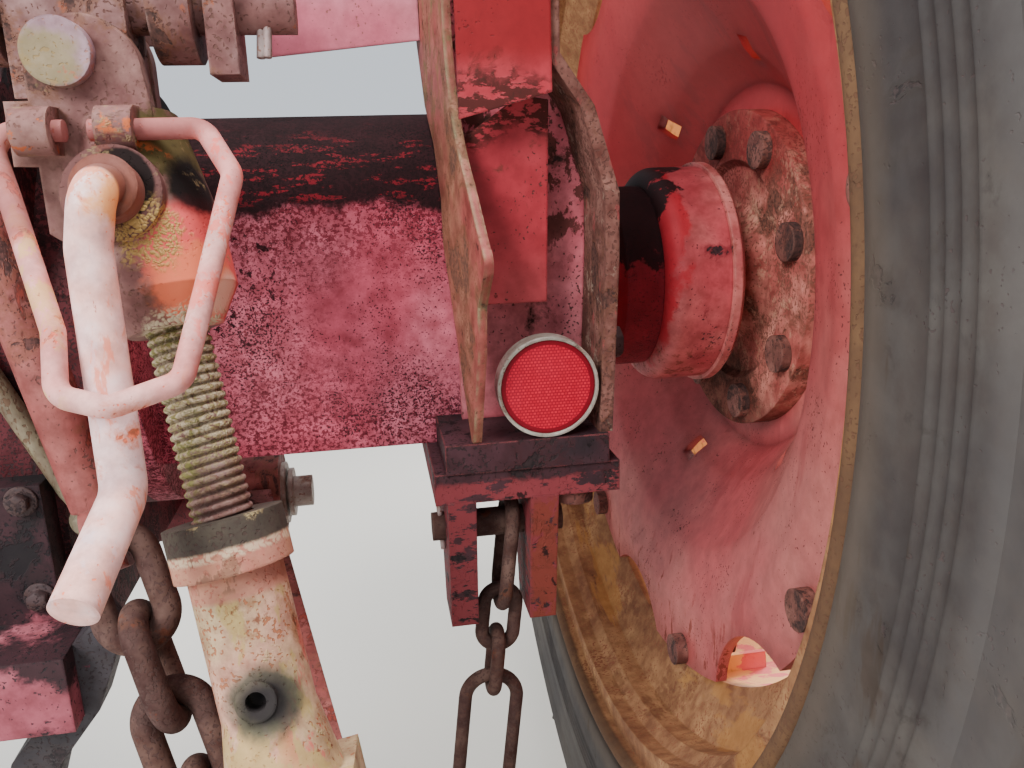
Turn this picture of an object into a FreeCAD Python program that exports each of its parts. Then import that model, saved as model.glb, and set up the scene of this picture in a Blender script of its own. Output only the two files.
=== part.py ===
import FreeCAD, Part
import math
import os

import Sketcher

# Right-hand rear axle end of a farm tractor, in millimetres.
# The origin is the centre of the centre housing's left-hand flange, on the wheel's axis.
# X points outboard to the tractor's right, Y forward and Z up.

Vec = FreeCAD.Vector
Turn = FreeCAD.Rotation
ALONG = {"X": Turn(Vec(0, 1, 0), 90), "Y": Turn(Vec(1, 0, 0), -90), "Z": Turn()}

doc = FreeCAD.newDocument("AxleEnd")
sheet = doc.addObject("Spreadsheet::Sheet", "Sizes")

# Driving dimensions: name, millimetres, degrees or a plain share
SIZES = [
    # centre housing and its flanges
    ("case_width", 380), ("case_back", 150), ("case_front", 250), ("case_top", 185),
    ("case_low", 190), ("case_bevel", 65), ("case_inset", 24), ("flange_thick", 16),
    ("case_flange_radius", 140), ("flange_bolt_circle", 244), ("flange_bolt_radius", 7),
    ("flange_bolt_count", 8), ("first_bolt", 22.5), ("gearbox_flange_radius", 165),
    ("gearbox_bolt_circle", 290),
    ("running_gap", 0.05), ("side_gap", 2), ("seam_gap", 0.2), ("seam_overlap", 1),
    ("hole_over", 1),
    # power shaft and its cap
    ("power_shaft_z", -40), ("power_shaft_radius", 17.5), ("power_journal_radius", 20),
    ("power_shaft_reach", 62), ("power_shaft_depth", 56), ("power_boss_radius", 46),
    ("power_boss_depth", 14), ("power_cap_radius", 42), ("power_cap_depth", 16),
    # lift cover and cross shaft
    ("cover_height", 120), ("cover_side", 30), ("cover_back", 130), ("cover_front", 170),
    ("cover_edge", 26), ("cover_shoulder", 62), ("cover_boss_radius", 44),
    ("cover_boss_gap", 6),
    ("shaft_y", 60), ("shaft_rise", 75), ("cross_shaft_radius", 26), ("cross_shaft_left", 30),
    ("cross_shaft_right", 8), ("shaft_end_radius", 24), ("shaft_end_length", 32),
    # lift arm, its fork and the long pin
    ("arm_stand", 42), ("arm_hub_radius", 46), ("arm_hub_width", 52), ("arm_bar_width", 28),
    ("arm_taper", 8), ("pin_stand_back", 35), ("pin_drop", 28), ("hitch_pin_radius", 11),
    ("hitch_pin_half", 84), ("cheek_thick", 18), ("cheek_radius", 24), ("fork_left_half", 42),
    ("fork_right_half", 22), ("fork_throat", 44), ("yoke_depth", 24), ("strap_stand", 45),
    ("strap_thick", 13), ("strap_half", 17), ("strap_rise", 14), ("strap_drop", 44),
    # knuckle, its pin and the shield of the levelling box
    ("knuckle_shift", 3), ("knuckle_width", 50), ("knuckle_depth", 34), ("knuckle_rise", 19),
    ("knuckle_foot", 17), ("swivel_drop", 22), ("swivel_radius", 9), ("swivel_head_radius", 14),
    ("swivel_head", 8), ("ear_thick", 10), ("ear_half", 26), ("ear_drop", 46), ("ear_gap", 1),
    ("shield_half", 23.5), ("shield_shift", 7.5), ("shield_step", 3), ("shield_round", 24),
    ("shield_drop", 59), ("shield_flare", 7), ("shield_skew", 13), ("shield_foot", 34),
    # levelling rod's axis, box and crank
    ("rod_lean_x", 9.85), ("rod_top_out", 9), ("rod_top_forward", 6),
    ("box_radius", 31), ("box_top", 54), ("box_top_radius", 23), ("box_round", 52),
    ("box_low", 134), ("neck_radius", 21), ("neck_end", 150), ("crank_level", 93),
    ("crank_shift", 5), ("crank_boss_radius", 20.5), ("crank_boss_reach", 34),
    ("crank_bore_depth", 22), ("crank_hub_radius", 13.5), ("crank_hub_reach", 44),
    ("crank_radius", 9), ("crank_bend", 13), ("crank_overlap", 16), ("crank_knee", 56),
    ("crank_side", 9), ("crank_lean", 10), ("crank_foot_in", 24), ("crank_drop", 123),
    ("crank_grip_in", 38), ("crank_grip_back", 84), ("crank_grip_drop", 36),
    # bail and its lugs
    ("bail_radius", 4.6), ("bail_play", 0.3), ("bail_bend", 9), ("bail_lug_stand", 9),
    ("bail_lug_drop", 54), ("bail_clear", 27.5), ("bail_left_out", 12), ("bail_right_out", 21),
    ("lug_radius", 10),
    ("lug_width", 15), ("bail_inner", 4),
    # screw, lower tube and drop pin
    ("screw_radius", 14), ("screw_engaged", 40), ("screw_in_tube", 30), ("collar_radius", 27),
    ("collar_top", 238), ("collar_height", 24), ("tube_radius", 21.5), ("tube_end", 330),
    ("tube_flare", 62), ("tube_bore", 46), ("grease_boss_radius", 9), ("grease_boss_z", 318),
    ("grease_hole_radius", 4.5), ("tine_thick", 13), ("tine_width", 54), ("fork_play", 8),
    ("drop_pin_radius", 12), ("drop_pin_over", 12), ("drop_slot_gap", 5.5),
    # lower link
    ("link_pivot_y", 130), ("link_pivot_z", -200), ("link_pin_radius", 14),
    ("link_pin_inner", 38),
    ("link_pin_outer", 26), ("link_washer_gap", 6), ("link_washer", 4),
    ("link_washer_radius", 22), ("link_boss_length", 66), ("link_boss_out", 6),
    ("link_slope", 14.85),
    ("link_reach", 460), ("link_length", 920), ("link_thick", 22), ("link_height", 58),
    ("link_straight_length", 90), ("link_ball_radius", 28), ("link_ball_over", 4),
    ("link_eye_radius", 40),
    ("link_eye_width", 34), ("link_overlap", 6), ("link_spread_width", 186),
    ("link_rear_bore_radius", 14.5),
    ("link_boss_radius", 34), ("link_lug", 40), ("link_lug_half", 7), ("link_lug_hole", 8),
    # axle housing and bearing bell
    ("house_length", 302), ("house_back", 95), ("house_low", 90), ("house_top", 118),
    ("house_shoulder", 58), ("house_crown", 50), ("house_round", 62), ("cone_length", 24),
    ("neck_length", 50), ("house_neck_radius", 67), ("shaft_in", 82), ("tunnel_gap", 5),
    ("bell_length", 53), ("bell_radius", 80), ("bell_round", 12), ("ring_radius", 83),
    ("ring_width", 9), ("ring_bevel", 3),
    # half shaft, hub flange and wheel bolts
    ("half_shaft_radius", 36), ("hub_stand", 25), ("hub_edge", 18.4), ("hub_thick", 16),
    ("hub_collar_step", 17.6), ("hub_recess", 5), ("hub_pilot", 6), ("hub_pilot_gap", 1),
    ("hub_fillet", 8), ("hub_bolt_circle", 203.2),
    ("hub_bolt_radius", 9), ("hub_bolt_head_radius", 13), ("hub_bolt_head", 7),
    ("hub_nut", 14), ("hub_bolt_turn", 28),
    # pressed wheel disc
    ("disc_thick", 8), ("disc_bore", 62), ("disc_flat_step", 18), ("disc_ridge_step", 25),
    ("disc_ridge_depth", 27), ("disc_slope_share", 0.525), ("disc_slope_depth", 63),
    ("disc_depth", 76), ("disc_edge_gap", 2), ("disc_rim_land", 46), ("scallop_radius", 72),
    ("scallop_out", 33), ("square_hole", 16), ("square_turn", 14), ("square_count", 6),
    # rim, its brackets and their bolts
    ("rim_inset", 60), ("rim_width", 311), ("rim_flange_radius", 372), ("lip_radius", 6),
    ("flange_height", 20), ("rim_skew", 2), ("rim_wall", 7), ("bead_width", 12),
    ("step_width", 8),
    ("step_depth", 6), ("ledge_width", 16), ("well_slope", 20), ("well_depth", 42),
    ("bracket_length", 46), ("bracket_width", 58), ("bracket_thick", 14), ("gusset_thick", 6),
    ("rim_bolt_inset", 20), ("rim_bolt_radius", 8), ("rim_bolt_turn", 31),
    ("rim_bolt_head_radius", 11.5), ("rim_bolt_head", 9), ("wheel_bolt_count", 8),
    # tyre
    ("tyre_height", 228), ("tyre_width", 316), ("tyre_wall", 22), ("belly_height", 98),
    ("shoulder_height", 193), ("shoulder_in", 22), ("tread_in", 50), ("tread_drop", 14),
    ("edge_round", 60), ("crown_round", 900),
    ("bead_foot", 26), ("crown_thick", 46), ("cavity_in", 60), ("bead_seat_gap", 0.3),
    ("bead_clear", 1),
    ("flange_clear", 3),
    ("lug_height", 30), ("lug_count", 22), ("lug_thick", 40), ("lug_slant", 42),
    ("lug_root", 44),
    ("lug_reach", 2), ("lug_edge", 3),
    # fender post: inner plate, web, bent strip, skirt plates and panel
    ("post_inset", 105), ("post_turn", 6.7), ("post_front", -100), ("post_wall", 5),
    ("post_top", 300), ("strip_foot_out", 83), ("strip_knee_out", 87),
    ("strip_knee_height", 30), ("strip_bend_height", 68), ("strip_slope_out", 73),
    ("strip_slope_height", 114), ("strip_neck_out", 54), ("strip_neck_height", 141),
    ("web_y", -108), ("web_thick", 7), ("strip_thick", 8),
    ("strip_front", -102), ("strip_back", -156), ("skirt_y", -135), ("skirt_thick", 3),
    ("skirt_inset", 20), ("skirt_width", 57), ("skirt_low", 5), ("skirt_side_height", 98),
    ("skirt_top_height", 119), ("skirt_bow_width", 3), ("skirt_cut_width", 16),
    ("upper_low_height", 108), ("upper_rise_height", 13),
    ("panel_thick", 3), ("panel_y", -62), ("panel_reach", 95), ("panel_low", 152),
    ("panel_rise", 9),
    # reflector
    ("reflector_out", 52), ("reflector_z", -41.5), ("reflector_radius", 30),
    ("reflector_face", -159), ("reflector_depth", 12), ("reflector_rim", 2),
    ("reflector_stud", 5),
    # bracket under the housing
    ("base_in", 10), ("base_out", 88), ("base_back", -160), ("base_height", 18),
    ("clamp_in", 17), ("clamp_out", 95), ("clamp_thick", 19), ("clamp_front", 70),
    ("clamp_bolt_radius", 12), ("clamp_bolt_head", 9), ("clamp_bolt_in", 18),
    ("right_ear_out", 40), ("chain_ear_thick", 17), ("chain_ear_drop", 88),
    ("ear_top_half", 34), ("ear_low_half", 19), ("chain_pin_y", -125), ("chain_pin_drop", 27),
    ("chain_pin_radius", 9), ("chain_pin_over", 8),
    # check chain and heavy chain
    ("chain_wire", 4.5), ("chain_width", 30), ("chain_pitch", 32), ("shackle_pitch", 62),
    ("shackle_width", 40), ("end_link_pitch", 84), ("end_link_width", 44), ("heavy_wire", 7),
    ("heavy_width", 44), ("heavy_pitch", 42), ("link_play", 0.2), ("link_gap", 0.3),
    ("chain_lean", 7),
    ("chain_shift", 8.5),
    # pick-up hitch rod on the long pin
    ("pull_rod_radius", 12), ("pull_eye_radius", 21), ("pull_eye_width", 14),
    ("pull_straight", 60),
    ("pull_bend", 60), ("pull_out", 37), ("pull_back", 6), ("pull_drop", 234), ("hang_out", 52),
    ("hang_back", 57), ("hang_drop", 159),
    ("ring_play", 2.5), ("ring_wall", 9), ("pull_ring_width", 12), ("ring_stand", 17),
    # drawbar frame
    ("hanger_width", 120), ("hanger_inset", 28), ("hanger_top", -72), ("hanger_low", -186),
    ("hanger_thick", 18), ("frame_bar_top", -150), ("frame_bar_height", 42),
    ("frame_bar_depth", 44), ("frame_bar_end", 14), ("frame_bar_over", 14), ("hook_thick", 22),
    ("hook_inset", 14),
]


class Size:
    """A length that keeps both its expression in the sheet and its present value."""

    def __init__(self, text, value):
        self.text = text
        self.value = value

    def merge(self, other, sign, value):
        return Size("(%s %s %s)" % (self.text, sign, text_of(other)), value)

    def __add__(self, other):
        return self.merge(other, "+", self.value + number(other))

    def __sub__(self, other):
        return self.merge(other, "-", self.value - number(other))

    def __mul__(self, other):
        return self.merge(other, "*", self.value * number(other))

    def __truediv__(self, other):
        return self.merge(other, "/", self.value / number(other))

    def __neg__(self):
        return Size("(0 - %s)" % self.text, -self.value)

    def __radd__(self, other):
        return self + other

    def __rmul__(self, other):
        return self * other

    def __rsub__(self, other):
        return -self + other


def text_of(item):
    return item.text if isinstance(item, Size) else repr(float(item))


def number(item):
    return item.value if isinstance(item, Size) else float(item)


def sine(angle):
    return Size("sin(%s)" % text_of(angle), math.sin(math.radians(number(angle))))


def cosine(angle):
    return Size("cos(%s)" % text_of(angle), math.cos(math.radians(number(angle))))


def root(size):
    return Size("sqrt(%s)" % text_of(size), math.sqrt(number(size)))


def lesser(first, second):
    words = "min(%s; %s)" % (text_of(first), text_of(second))
    return Size(words, min(number(first), number(second)))


class Sheet:
    """The driving dimensions by name."""


S = Sheet()
for row, (name, amount) in enumerate(SIZES, start=1):
    sheet.set("A%d" % row, name)
    sheet.set("B%d" % row, str(amount))
    sheet.setAlias("B%d" % row, name)
    setattr(S, name, Size("Sizes." + name, float(amount)))
doc.recompute()


def bind(item, path, size):
    if isinstance(size, Size):
        item.setExpression(path, size.text)
    else:
        item.setExpression(path, repr(float(size)))


def put(item, place):
    for letter, size in zip("xyz", place):
        bind(item, "Placement.Base." + letter, size)


def block(name, xs, ys, zs):
    """A box between two values on each axis."""
    box = doc.addObject("Part::Box", name)
    for side, (low, high) in zip(("Length", "Width", "Height"), (xs, ys, zs)):
        bind(box, side, high - low)
    put(box, (xs[0], ys[0], zs[0]))
    return box


def rod(name, axis, start, length, radius):
    """A round bar along one axis."""
    bar = doc.addObject("Part::Cylinder", name)
    bind(bar, "Radius", radius)
    bind(bar, "Height", length)
    bar.Placement = FreeCAD.Placement(Vec(), ALONG[axis])
    put(bar, start)
    return bar


def cone(name, axis, start, length, first, last):
    taper = doc.addObject("Part::Cone", name)
    bind(taper, "Radius1", first)
    bind(taper, "Radius2", last)
    bind(taper, "Height", length)
    taper.Placement = FreeCAD.Placement(Vec(), ALONG[axis])
    put(taper, start)
    return taper


def fuse(name, items):
    whole = doc.addObject("Part::MultiFuse", name)
    whole.Shapes = items
    whole.Refine = True
    return whole


def cut(name, base, tools):
    rest = doc.addObject("Part::Cut", name)
    rest.Base = base
    rest.Tool = tools[0] if len(tools) == 1 else fuse(name + "_tools", tools)
    rest.Refine = True
    return rest


def arc_between(a, b, radius):
    """The short arc from a to b, and whether it runs from b to a in the sketch's own sense."""
    chord = b - a
    half = chord.Length / 2
    size = max(abs(radius), half * 1.0001)
    rise = math.sqrt(size * size - half * half)
    normal = Vec(-chord.y, chord.x, 0).normalize()
    backwards = radius < 0
    centre = (a + b) * 0.5 + normal * (-rise if backwards else rise)
    first, last = (b, a) if backwards else (a, b)
    start = math.atan2(first.y - centre.y, first.x - centre.x)
    end = math.atan2(last.y - centre.y, last.x - centre.x)
    circle = Part.Circle(centre, Vec(0, 0, 1), size)
    return Part.ArcOfCircle(circle, start, end), backwards


def outline(body, plane, points, offset=0):
    """A closed sketch through points (u, v) or (u, v, radius of the arc to the next point).

    A positive radius bulges to the right of the way round, a negative one to the left."""
    sketch = body.newObject("Sketcher::SketchObject", body.Name + "_outline")
    origin = [item for item in body.Origin.OriginFeatures if item.Role == plane + "_Plane"][0]
    sketch.AttachmentSupport = [(origin, "")]
    sketch.MapMode = "FlatFace"
    bind(sketch, "AttachmentOffset.Base.z", offset)
    count = len(points)
    spots = [Vec(number(p[0]), number(p[1]), 0) for p in points]
    ends = []
    for i, point in enumerate(points):
        here, there = spots[i], spots[(i + 1) % count]
        if len(point) > 2:
            arc, backwards = arc_between(here, there, number(point[2]))
            sketch.addGeometry(arc, False)
            ends.append((2, 1) if backwards else (1, 2))
        else:
            sketch.addGeometry(Part.LineSegment(here, there), False)
            ends.append((1, 2))
    for i in range(count):
        after = (i + 1) % count
        rule = Sketcher.Constraint("Coincident", i, ends[i][1], after, ends[after][0])
        sketch.addConstraint(rule)
    for i, point in enumerate(points):
        for kind, size in (("DistanceX", point[0]), ("DistanceY", point[1])):
            rule = Sketcher.Constraint(kind, -1, 1, i, ends[i][0], number(size))
            item = sketch.addConstraint(rule)
            bind(sketch, "Constraints[%d]" % item, size)
        if len(point) > 2:
            size = point[2] if number(point[2]) > 0 else -point[2]
            item = sketch.addConstraint(Sketcher.Constraint("Radius", i, number(size)))
            bind(sketch, "Constraints[%d]" % item, size)
    return sketch


def plate(name, plane, points, start, depth):
    """A sketch padded from start along its plane's axis: X for YZ, Z for XY, minus Y for XZ."""
    body = doc.addObject("PartDesign::Body", name)
    sketch = outline(body, plane, points, start)
    pad = body.newObject("PartDesign::Pad", name + "_pad")
    pad.Profile = sketch
    bind(pad, "Length", depth)
    return body


def turned(name, points):
    """A profile of points (x, radius) turned about the X axis."""
    body = doc.addObject("PartDesign::Body", name)
    sketch = outline(body, "XZ", points)
    turn = body.newObject("PartDesign::Revolution", name + "_turn")
    turn.Profile = sketch
    turn.ReferenceAxis = (sketch, ["H_Axis"])
    turn.Angle = 360
    return body


def shaped(name, shape):
    item = doc.addObject("Part::Feature", name)
    item.Shape = shape
    return item


def moved(item, place):
    """The item carried to another frame, as a group of one."""
    group = doc.addObject("Part::Compound", item.Name + "_placed")
    group.Links = [item]
    group.Placement = place
    return group


def bent_bar(points, radius, bend, closed=False):
    """A round bar along straight runs joined by arcs."""
    spots = [Vec(*[number(value) for value in point]) for point in points]
    count = len(spots)
    inner = range(count) if closed else range(1, count - 1)
    corners = {}
    for i in inner:
        before, here, after = spots[i - 1], spots[i], spots[(i + 1) % count]
        back = (before - here).normalize()
        ahead = (after - here).normalize()
        half = back.getAngle(ahead) / 2
        room = 0.49 * min((before - here).Length, (after - here).Length)
        reach = min(number(bend) / math.tan(half), room)
        middle = (back + ahead).normalize()
        curve = reach * math.tan(half)
        peak = here + middle * (curve / math.sin(half) - curve)
        corners[i] = (here + back * reach, peak, here + ahead * reach)
    edges = []
    spans = range(count) if closed else range(count - 1)
    for i in spans:
        after = (i + 1) % count
        start = corners[i][2] if i in corners else spots[i]
        end = corners[after][0] if after in corners else spots[after]
        if (end - start).Length > 1e-6:
            edges.append(Part.LineSegment(start, end).toShape())
        if after in corners:
            edges.append(Part.Arc(*corners[after]).toShape())
    path = Part.Wire(edges)
    first = edges[0]
    spot = first.valueAt(first.FirstParameter)
    ahead = first.tangentAt(first.FirstParameter)
    ring = Part.Wire([Part.Circle(spot, ahead, number(radius)).toShape()])
    bar = path.makePipeShell([ring], True, False)
    return bar if bar.isClosed() and bar.ShapeType == "Solid" else Part.Solid(bar)


def chain_link(centre, ahead, side, wire, width, pitch):
    """One round-wire link about its centre, long along ahead and wide along side."""
    half_long = number(pitch) / 2 + number(wire)
    half_wide = number(width) / 2 - number(wire)
    ahead = Vec(ahead).normalize()
    side = Vec(side).normalize()
    spots = [centre + ahead * half_long * u + side * half_wide * v
             for u, v in ((1, 1), (-1, 1), (-1, -1), (1, -1))]
    return bent_bar([tuple(spot) for spot in spots], wire, half_wide * 0.98, closed=True)


def chain(top, ahead, side, links):
    """Links (inner length, width, wire radius), each turned a quarter from the one before.

    The first link's upper end has its inner side at top."""
    ahead = Vec(ahead).normalize()
    across = (side - ahead * side.dot(ahead)).normalize()
    other = ahead.cross(across)
    made = []
    reach = 0
    for i, (pitch, width, wire) in enumerate(links):
        centre = top + ahead * (reach + number(pitch) / 2)
        made.append(chain_link(centre, ahead, across if i % 2 == 0 else other, wire, width, pitch))
        reach += number(pitch) - S.link_play.value
    return made


# Nodes of the finished part, in the order they are bolted together
nodes = []


def node(item, label, place=None):
    if place is not None:
        item = moved(item, place)
    item.Label = label
    nodes.append(item)
    return item


def around(axis_letter, start, reach, angle, length, radius, name):
    """A round bar along X or Y at some reach and angle (from Z) round that axis."""
    across = reach * sine(angle)
    up = reach * cosine(angle)
    if axis_letter == "X":
        return rod(name, "X", (start, -across, up), length, radius)
    return rod(name, "Y", (S.case_width / 2 + across, start, up), length, radius)


# Centre housing: a cast case with a round flange on each side and a boss for the link pin
case_back = -S.case_back
case_low = -S.case_low
case_mid = S.case_width / 2
case_body = plate("CaseBody", "YZ", [
    (case_back, case_low + S.case_bevel), (case_back + S.case_bevel, case_low),
    (S.case_front - S.case_bevel, case_low), (S.case_front, case_low + S.case_bevel),
    (S.case_front, S.case_top - S.case_bevel), (S.case_front - S.case_bevel, S.case_top),
    (case_back + S.case_bevel, S.case_top), (case_back, S.case_top - S.case_bevel),
], S.case_inset, S.case_width - S.case_inset * 2)
flange_depth = S.case_inset + S.seam_overlap
left_flange = rod("LeftFlange", "X", (0, 0, 0), flange_depth, S.case_flange_radius)
right_flange = rod("RightFlange", "X", (S.case_width - flange_depth, 0, 0), flange_depth,
                   S.case_flange_radius)
gearbox_flange = rod("GearboxFlange", "Y", (case_mid, S.case_front - S.flange_thick, 0),
                     S.flange_thick, S.gearbox_flange_radius)
boss_back = case_back - S.power_boss_depth
power_boss = rod("PowerBoss", "Y", (case_mid, boss_back, S.power_shaft_z),
                 S.power_boss_depth * 2, S.power_boss_radius)
link_boss = rod("LinkBoss", "X", (
    S.case_width + S.link_boss_out - S.link_boss_length, S.link_pivot_y, S.link_pivot_z),
    S.link_boss_length, S.link_boss_radius)
case_solid = fuse("CaseSolid", [
    case_body, left_flange, right_flange, gearbox_flange, power_boss, link_boss])
case_holes = []
for i in range(int(S.flange_bolt_count.value)):
    angle = S.first_bolt + 360 * i / S.flange_bolt_count.value
    case_holes.append(around("X", -S.hole_over, S.flange_bolt_circle / 2, angle,
                             S.case_inset + S.hole_over, S.flange_bolt_radius, "FlangeHole%d" % i))
    case_holes.append(around("Y", S.case_front - S.case_inset, S.gearbox_bolt_circle / 2, angle,
                             S.case_inset + S.hole_over, S.flange_bolt_radius, "GearboxHole%d" % i))
case_holes.append(rod("PowerBore", "Y", (case_mid, boss_back - S.hole_over, S.power_shaft_z),
                      S.power_boss_depth + S.power_shaft_depth + S.hole_over * 2,
                      S.power_journal_radius + S.running_gap))
case_holes.append(rod("LinkPinBore", "X", (
    S.case_width - S.link_pin_inner - S.side_gap, S.link_pivot_y, S.link_pivot_z),
    S.link_boss_length, S.link_pin_radius + S.running_gap / 2))
node(cut("CentreHousing", case_solid, case_holes), "centre_housing")

# Power shaft at the back, and the cap that holds its seal
cap_back = boss_back - S.power_cap_depth
power_stub = rod("PowerStub", "Y", (case_mid, cap_back - S.power_shaft_reach, S.power_shaft_z),
                 S.power_shaft_reach + S.seam_overlap, S.power_shaft_radius)
power_journal = rod("PowerJournal", "Y", (case_mid, cap_back, S.power_shaft_z),
                    S.power_cap_depth + S.power_boss_depth + S.power_shaft_depth,
                    S.power_journal_radius)
node(fuse("PowerShaft", [power_stub, power_journal]), "power_shaft")
power_cap = rod("PowerCapDisc", "Y", (case_mid, cap_back, S.power_shaft_z),
                S.power_cap_depth, S.power_cap_radius)
power_cap_bore = rod("PowerCapBore", "Y", (case_mid, cap_back - S.hole_over, S.power_shaft_z),
                     S.power_cap_depth + S.hole_over * 2, S.power_journal_radius + S.side_gap)
node(cut("PowerCap", power_cap, [power_cap_bore]), "power_shaft_cap")

# Lift cover: the casting on top that carries the cross shaft
shaft_z = S.case_top + S.shaft_rise
cover_top = S.case_top + S.cover_height
cover_body = plate("CoverBody", "YZ", [
    (-S.cover_back, S.case_top), (S.cover_front, S.case_top),
    (S.cover_front, S.case_top + S.cover_edge), (S.shaft_y + S.cover_shoulder, cover_top),
    (S.shaft_y - S.cover_shoulder, cover_top), (-S.cover_back, S.case_top + S.cover_edge),
], S.cover_side, S.case_width - S.cover_side * 2)
boss_length = S.cover_side - S.cover_boss_gap
cover_boss_left = rod("CoverBossLeft", "X", (S.cover_boss_gap, S.shaft_y, shaft_z), boss_length,
                      S.cover_boss_radius)
cover_boss_right = rod("CoverBossRight", "X", (S.case_width - S.cover_side, S.shaft_y, shaft_z),
                       boss_length, S.cover_boss_radius)
cover_bore = rod("CoverBore", "X", (0, S.shaft_y, shaft_z), S.case_width,
                 S.cross_shaft_radius + S.running_gap)
cover_solid = fuse("CoverSolid", [cover_body, cover_boss_left, cover_boss_right])
node(cut("LiftCover", cover_solid, [cover_bore]), "lift_cover")

# Cross shaft that turns in the cover and carries the arm
arm_x = S.case_width + S.arm_stand
arm_left = arm_x - S.arm_hub_width / 2
shaft_step = S.shaft_end_length - S.cross_shaft_left
shaft_end = rod("CrossShaftEnd", "X", (-S.cross_shaft_left, S.shaft_y, shaft_z),
                S.shaft_end_length + S.seam_overlap, S.shaft_end_radius)
shaft_body = rod("CrossShaftBody", "X", (shaft_step, S.shaft_y, shaft_z),
                 arm_left + S.arm_hub_width + S.cross_shaft_right - shaft_step,
                 S.cross_shaft_radius)
node(fuse("CrossShaft", [shaft_end, shaft_body]), "lift_cross_shaft")

# Lift arm: a forged bar from the cross shaft to a fork, drawn with the bar along minus Y
pin_y = case_back - S.pin_stand_back
pin_z = S.case_top - S.pin_drop
pin_dy = S.shaft_y - pin_y
pin_dz = shaft_z - pin_z
arm_length = root(pin_dy * pin_dy + pin_dz * pin_dz)
arm_slope = math.degrees(math.atan2(pin_dz.value, pin_dy.value))
arm_place = FreeCAD.Placement(Vec(0, S.shaft_y.value, shaft_z.value), Turn(Vec(1, 0, 0), arm_slope))
throat = S.fork_throat - arm_length
fork_left = arm_x - S.fork_left_half
fork_right = arm_x + S.fork_right_half
cheek_left = fork_left - S.cheek_thick
fork_width = fork_right - fork_left + S.cheek_thick * 2
arm_root = S.arm_hub_radius - S.arm_taper
arm_foot = S.cheek_radius + S.arm_taper / 2
arm_parts = [
    plate("ArmBar", "YZ", [(0, arm_root), (throat, arm_foot), (throat, -arm_foot), (0, -arm_root)],
          arm_x - S.arm_bar_width / 2, S.arm_bar_width),
    block("ArmYoke", (cheek_left, cheek_left + fork_width), (throat, throat + S.yoke_depth),
          (-S.cheek_radius, S.cheek_radius)),
    rod("ArmHub", "X", (arm_left, 0, 0), S.arm_hub_width, S.arm_hub_radius),
]
for i, start in enumerate((cheek_left, fork_right)):
    arm_parts.append(block("CheekBar%d" % i, (start, start + S.cheek_thick),
                           (-arm_length, throat + S.seam_overlap),
                           (-S.cheek_radius, S.cheek_radius)))
    arm_parts.append(rod("CheekEnd%d" % i, "X", (start, -arm_length, 0), S.cheek_thick,
                         S.cheek_radius))
arm_bores = [
    rod("ArmHubBore", "X", (arm_left - S.hole_over, 0, 0), S.arm_hub_width + S.hole_over * 2,
        S.cross_shaft_radius + S.running_gap),
    rod("ArmPinBore", "X", (cheek_left - S.hole_over, -arm_length, 0), fork_width + S.hole_over * 2,
        S.hitch_pin_radius + S.running_gap),
]
node(cut("LiftArm", fuse("ArmSolid", arm_parts), arm_bores), "lift_arm", arm_place)

# Long pin through the arm's fork, and the strap that hangs beside the fork on it
pin_left = arm_x - S.hitch_pin_half
node(rod("HitchPin", "X", (pin_left, pin_y, pin_z), S.hitch_pin_half * 2, S.hitch_pin_radius),
     "lift_arm_pin")
strap_x = arm_x + S.strap_stand
strap_top = pin_z + S.strap_rise
strap_foot = strap_top - S.strap_drop
strap_body = plate("StrapBody", "YZ", [
    (pin_y - S.strap_half, strap_top, -S.strap_half), (pin_y + S.strap_half, strap_top),
    (pin_y + S.strap_half, strap_foot), (pin_y - S.strap_half, strap_foot),
], strap_x, S.strap_thick)
strap_bore = rod("StrapBore", "X", (strap_x - S.hole_over, pin_y, pin_z),
                 S.strap_thick + S.hole_over * 2, S.hitch_pin_radius + S.running_gap)
node(cut("PinStrap", strap_body, [strap_bore]), "lift_pin_strap")

# Knuckle on the long pin, which lets the levelling box swing sideways on a second pin
knuckle_x = (fork_left + fork_right) / 2 - S.knuckle_shift
swivel_z = pin_z - S.swivel_drop
knuckle_back = pin_y - S.knuckle_depth / 2
knuckle_left = knuckle_x - S.knuckle_width / 2
knuckle_body = block("KnuckleBody", (knuckle_left, knuckle_left + S.knuckle_width),
                     (knuckle_back, knuckle_back + S.knuckle_depth),
                     (swivel_z - S.knuckle_foot, pin_z + S.knuckle_rise))
knuckle_bores = [
    rod("KnuckleBore", "X", (knuckle_left - S.hole_over, pin_y, pin_z),
        S.knuckle_width + S.hole_over * 2, S.hitch_pin_radius + S.running_gap),
    rod("KnuckleSwivelBore", "Y", (knuckle_x, knuckle_back - S.hole_over, swivel_z),
        S.knuckle_depth + S.hole_over * 2, S.swivel_radius + S.running_gap),
]
node(cut("Knuckle", knuckle_body, knuckle_bores), "rod_knuckle")
ear_back = knuckle_back - S.ear_gap - S.ear_thick
ear_front = knuckle_back + S.knuckle_depth + S.ear_gap
ear_span = ear_front - ear_back + S.ear_thick
swivel_shank = rod("SwivelShank", "Y", (knuckle_x, ear_back - S.seam_overlap, swivel_z),
                   ear_span + S.swivel_head, S.swivel_radius)
swivel_head = rod("SwivelHead", "Y", (knuckle_x, ear_back - S.swivel_head, swivel_z),
                  S.swivel_head, S.swivel_head_radius)
node(fuse("SwivelPin", [swivel_shank, swivel_head]), "rod_swivel_pin")

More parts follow.
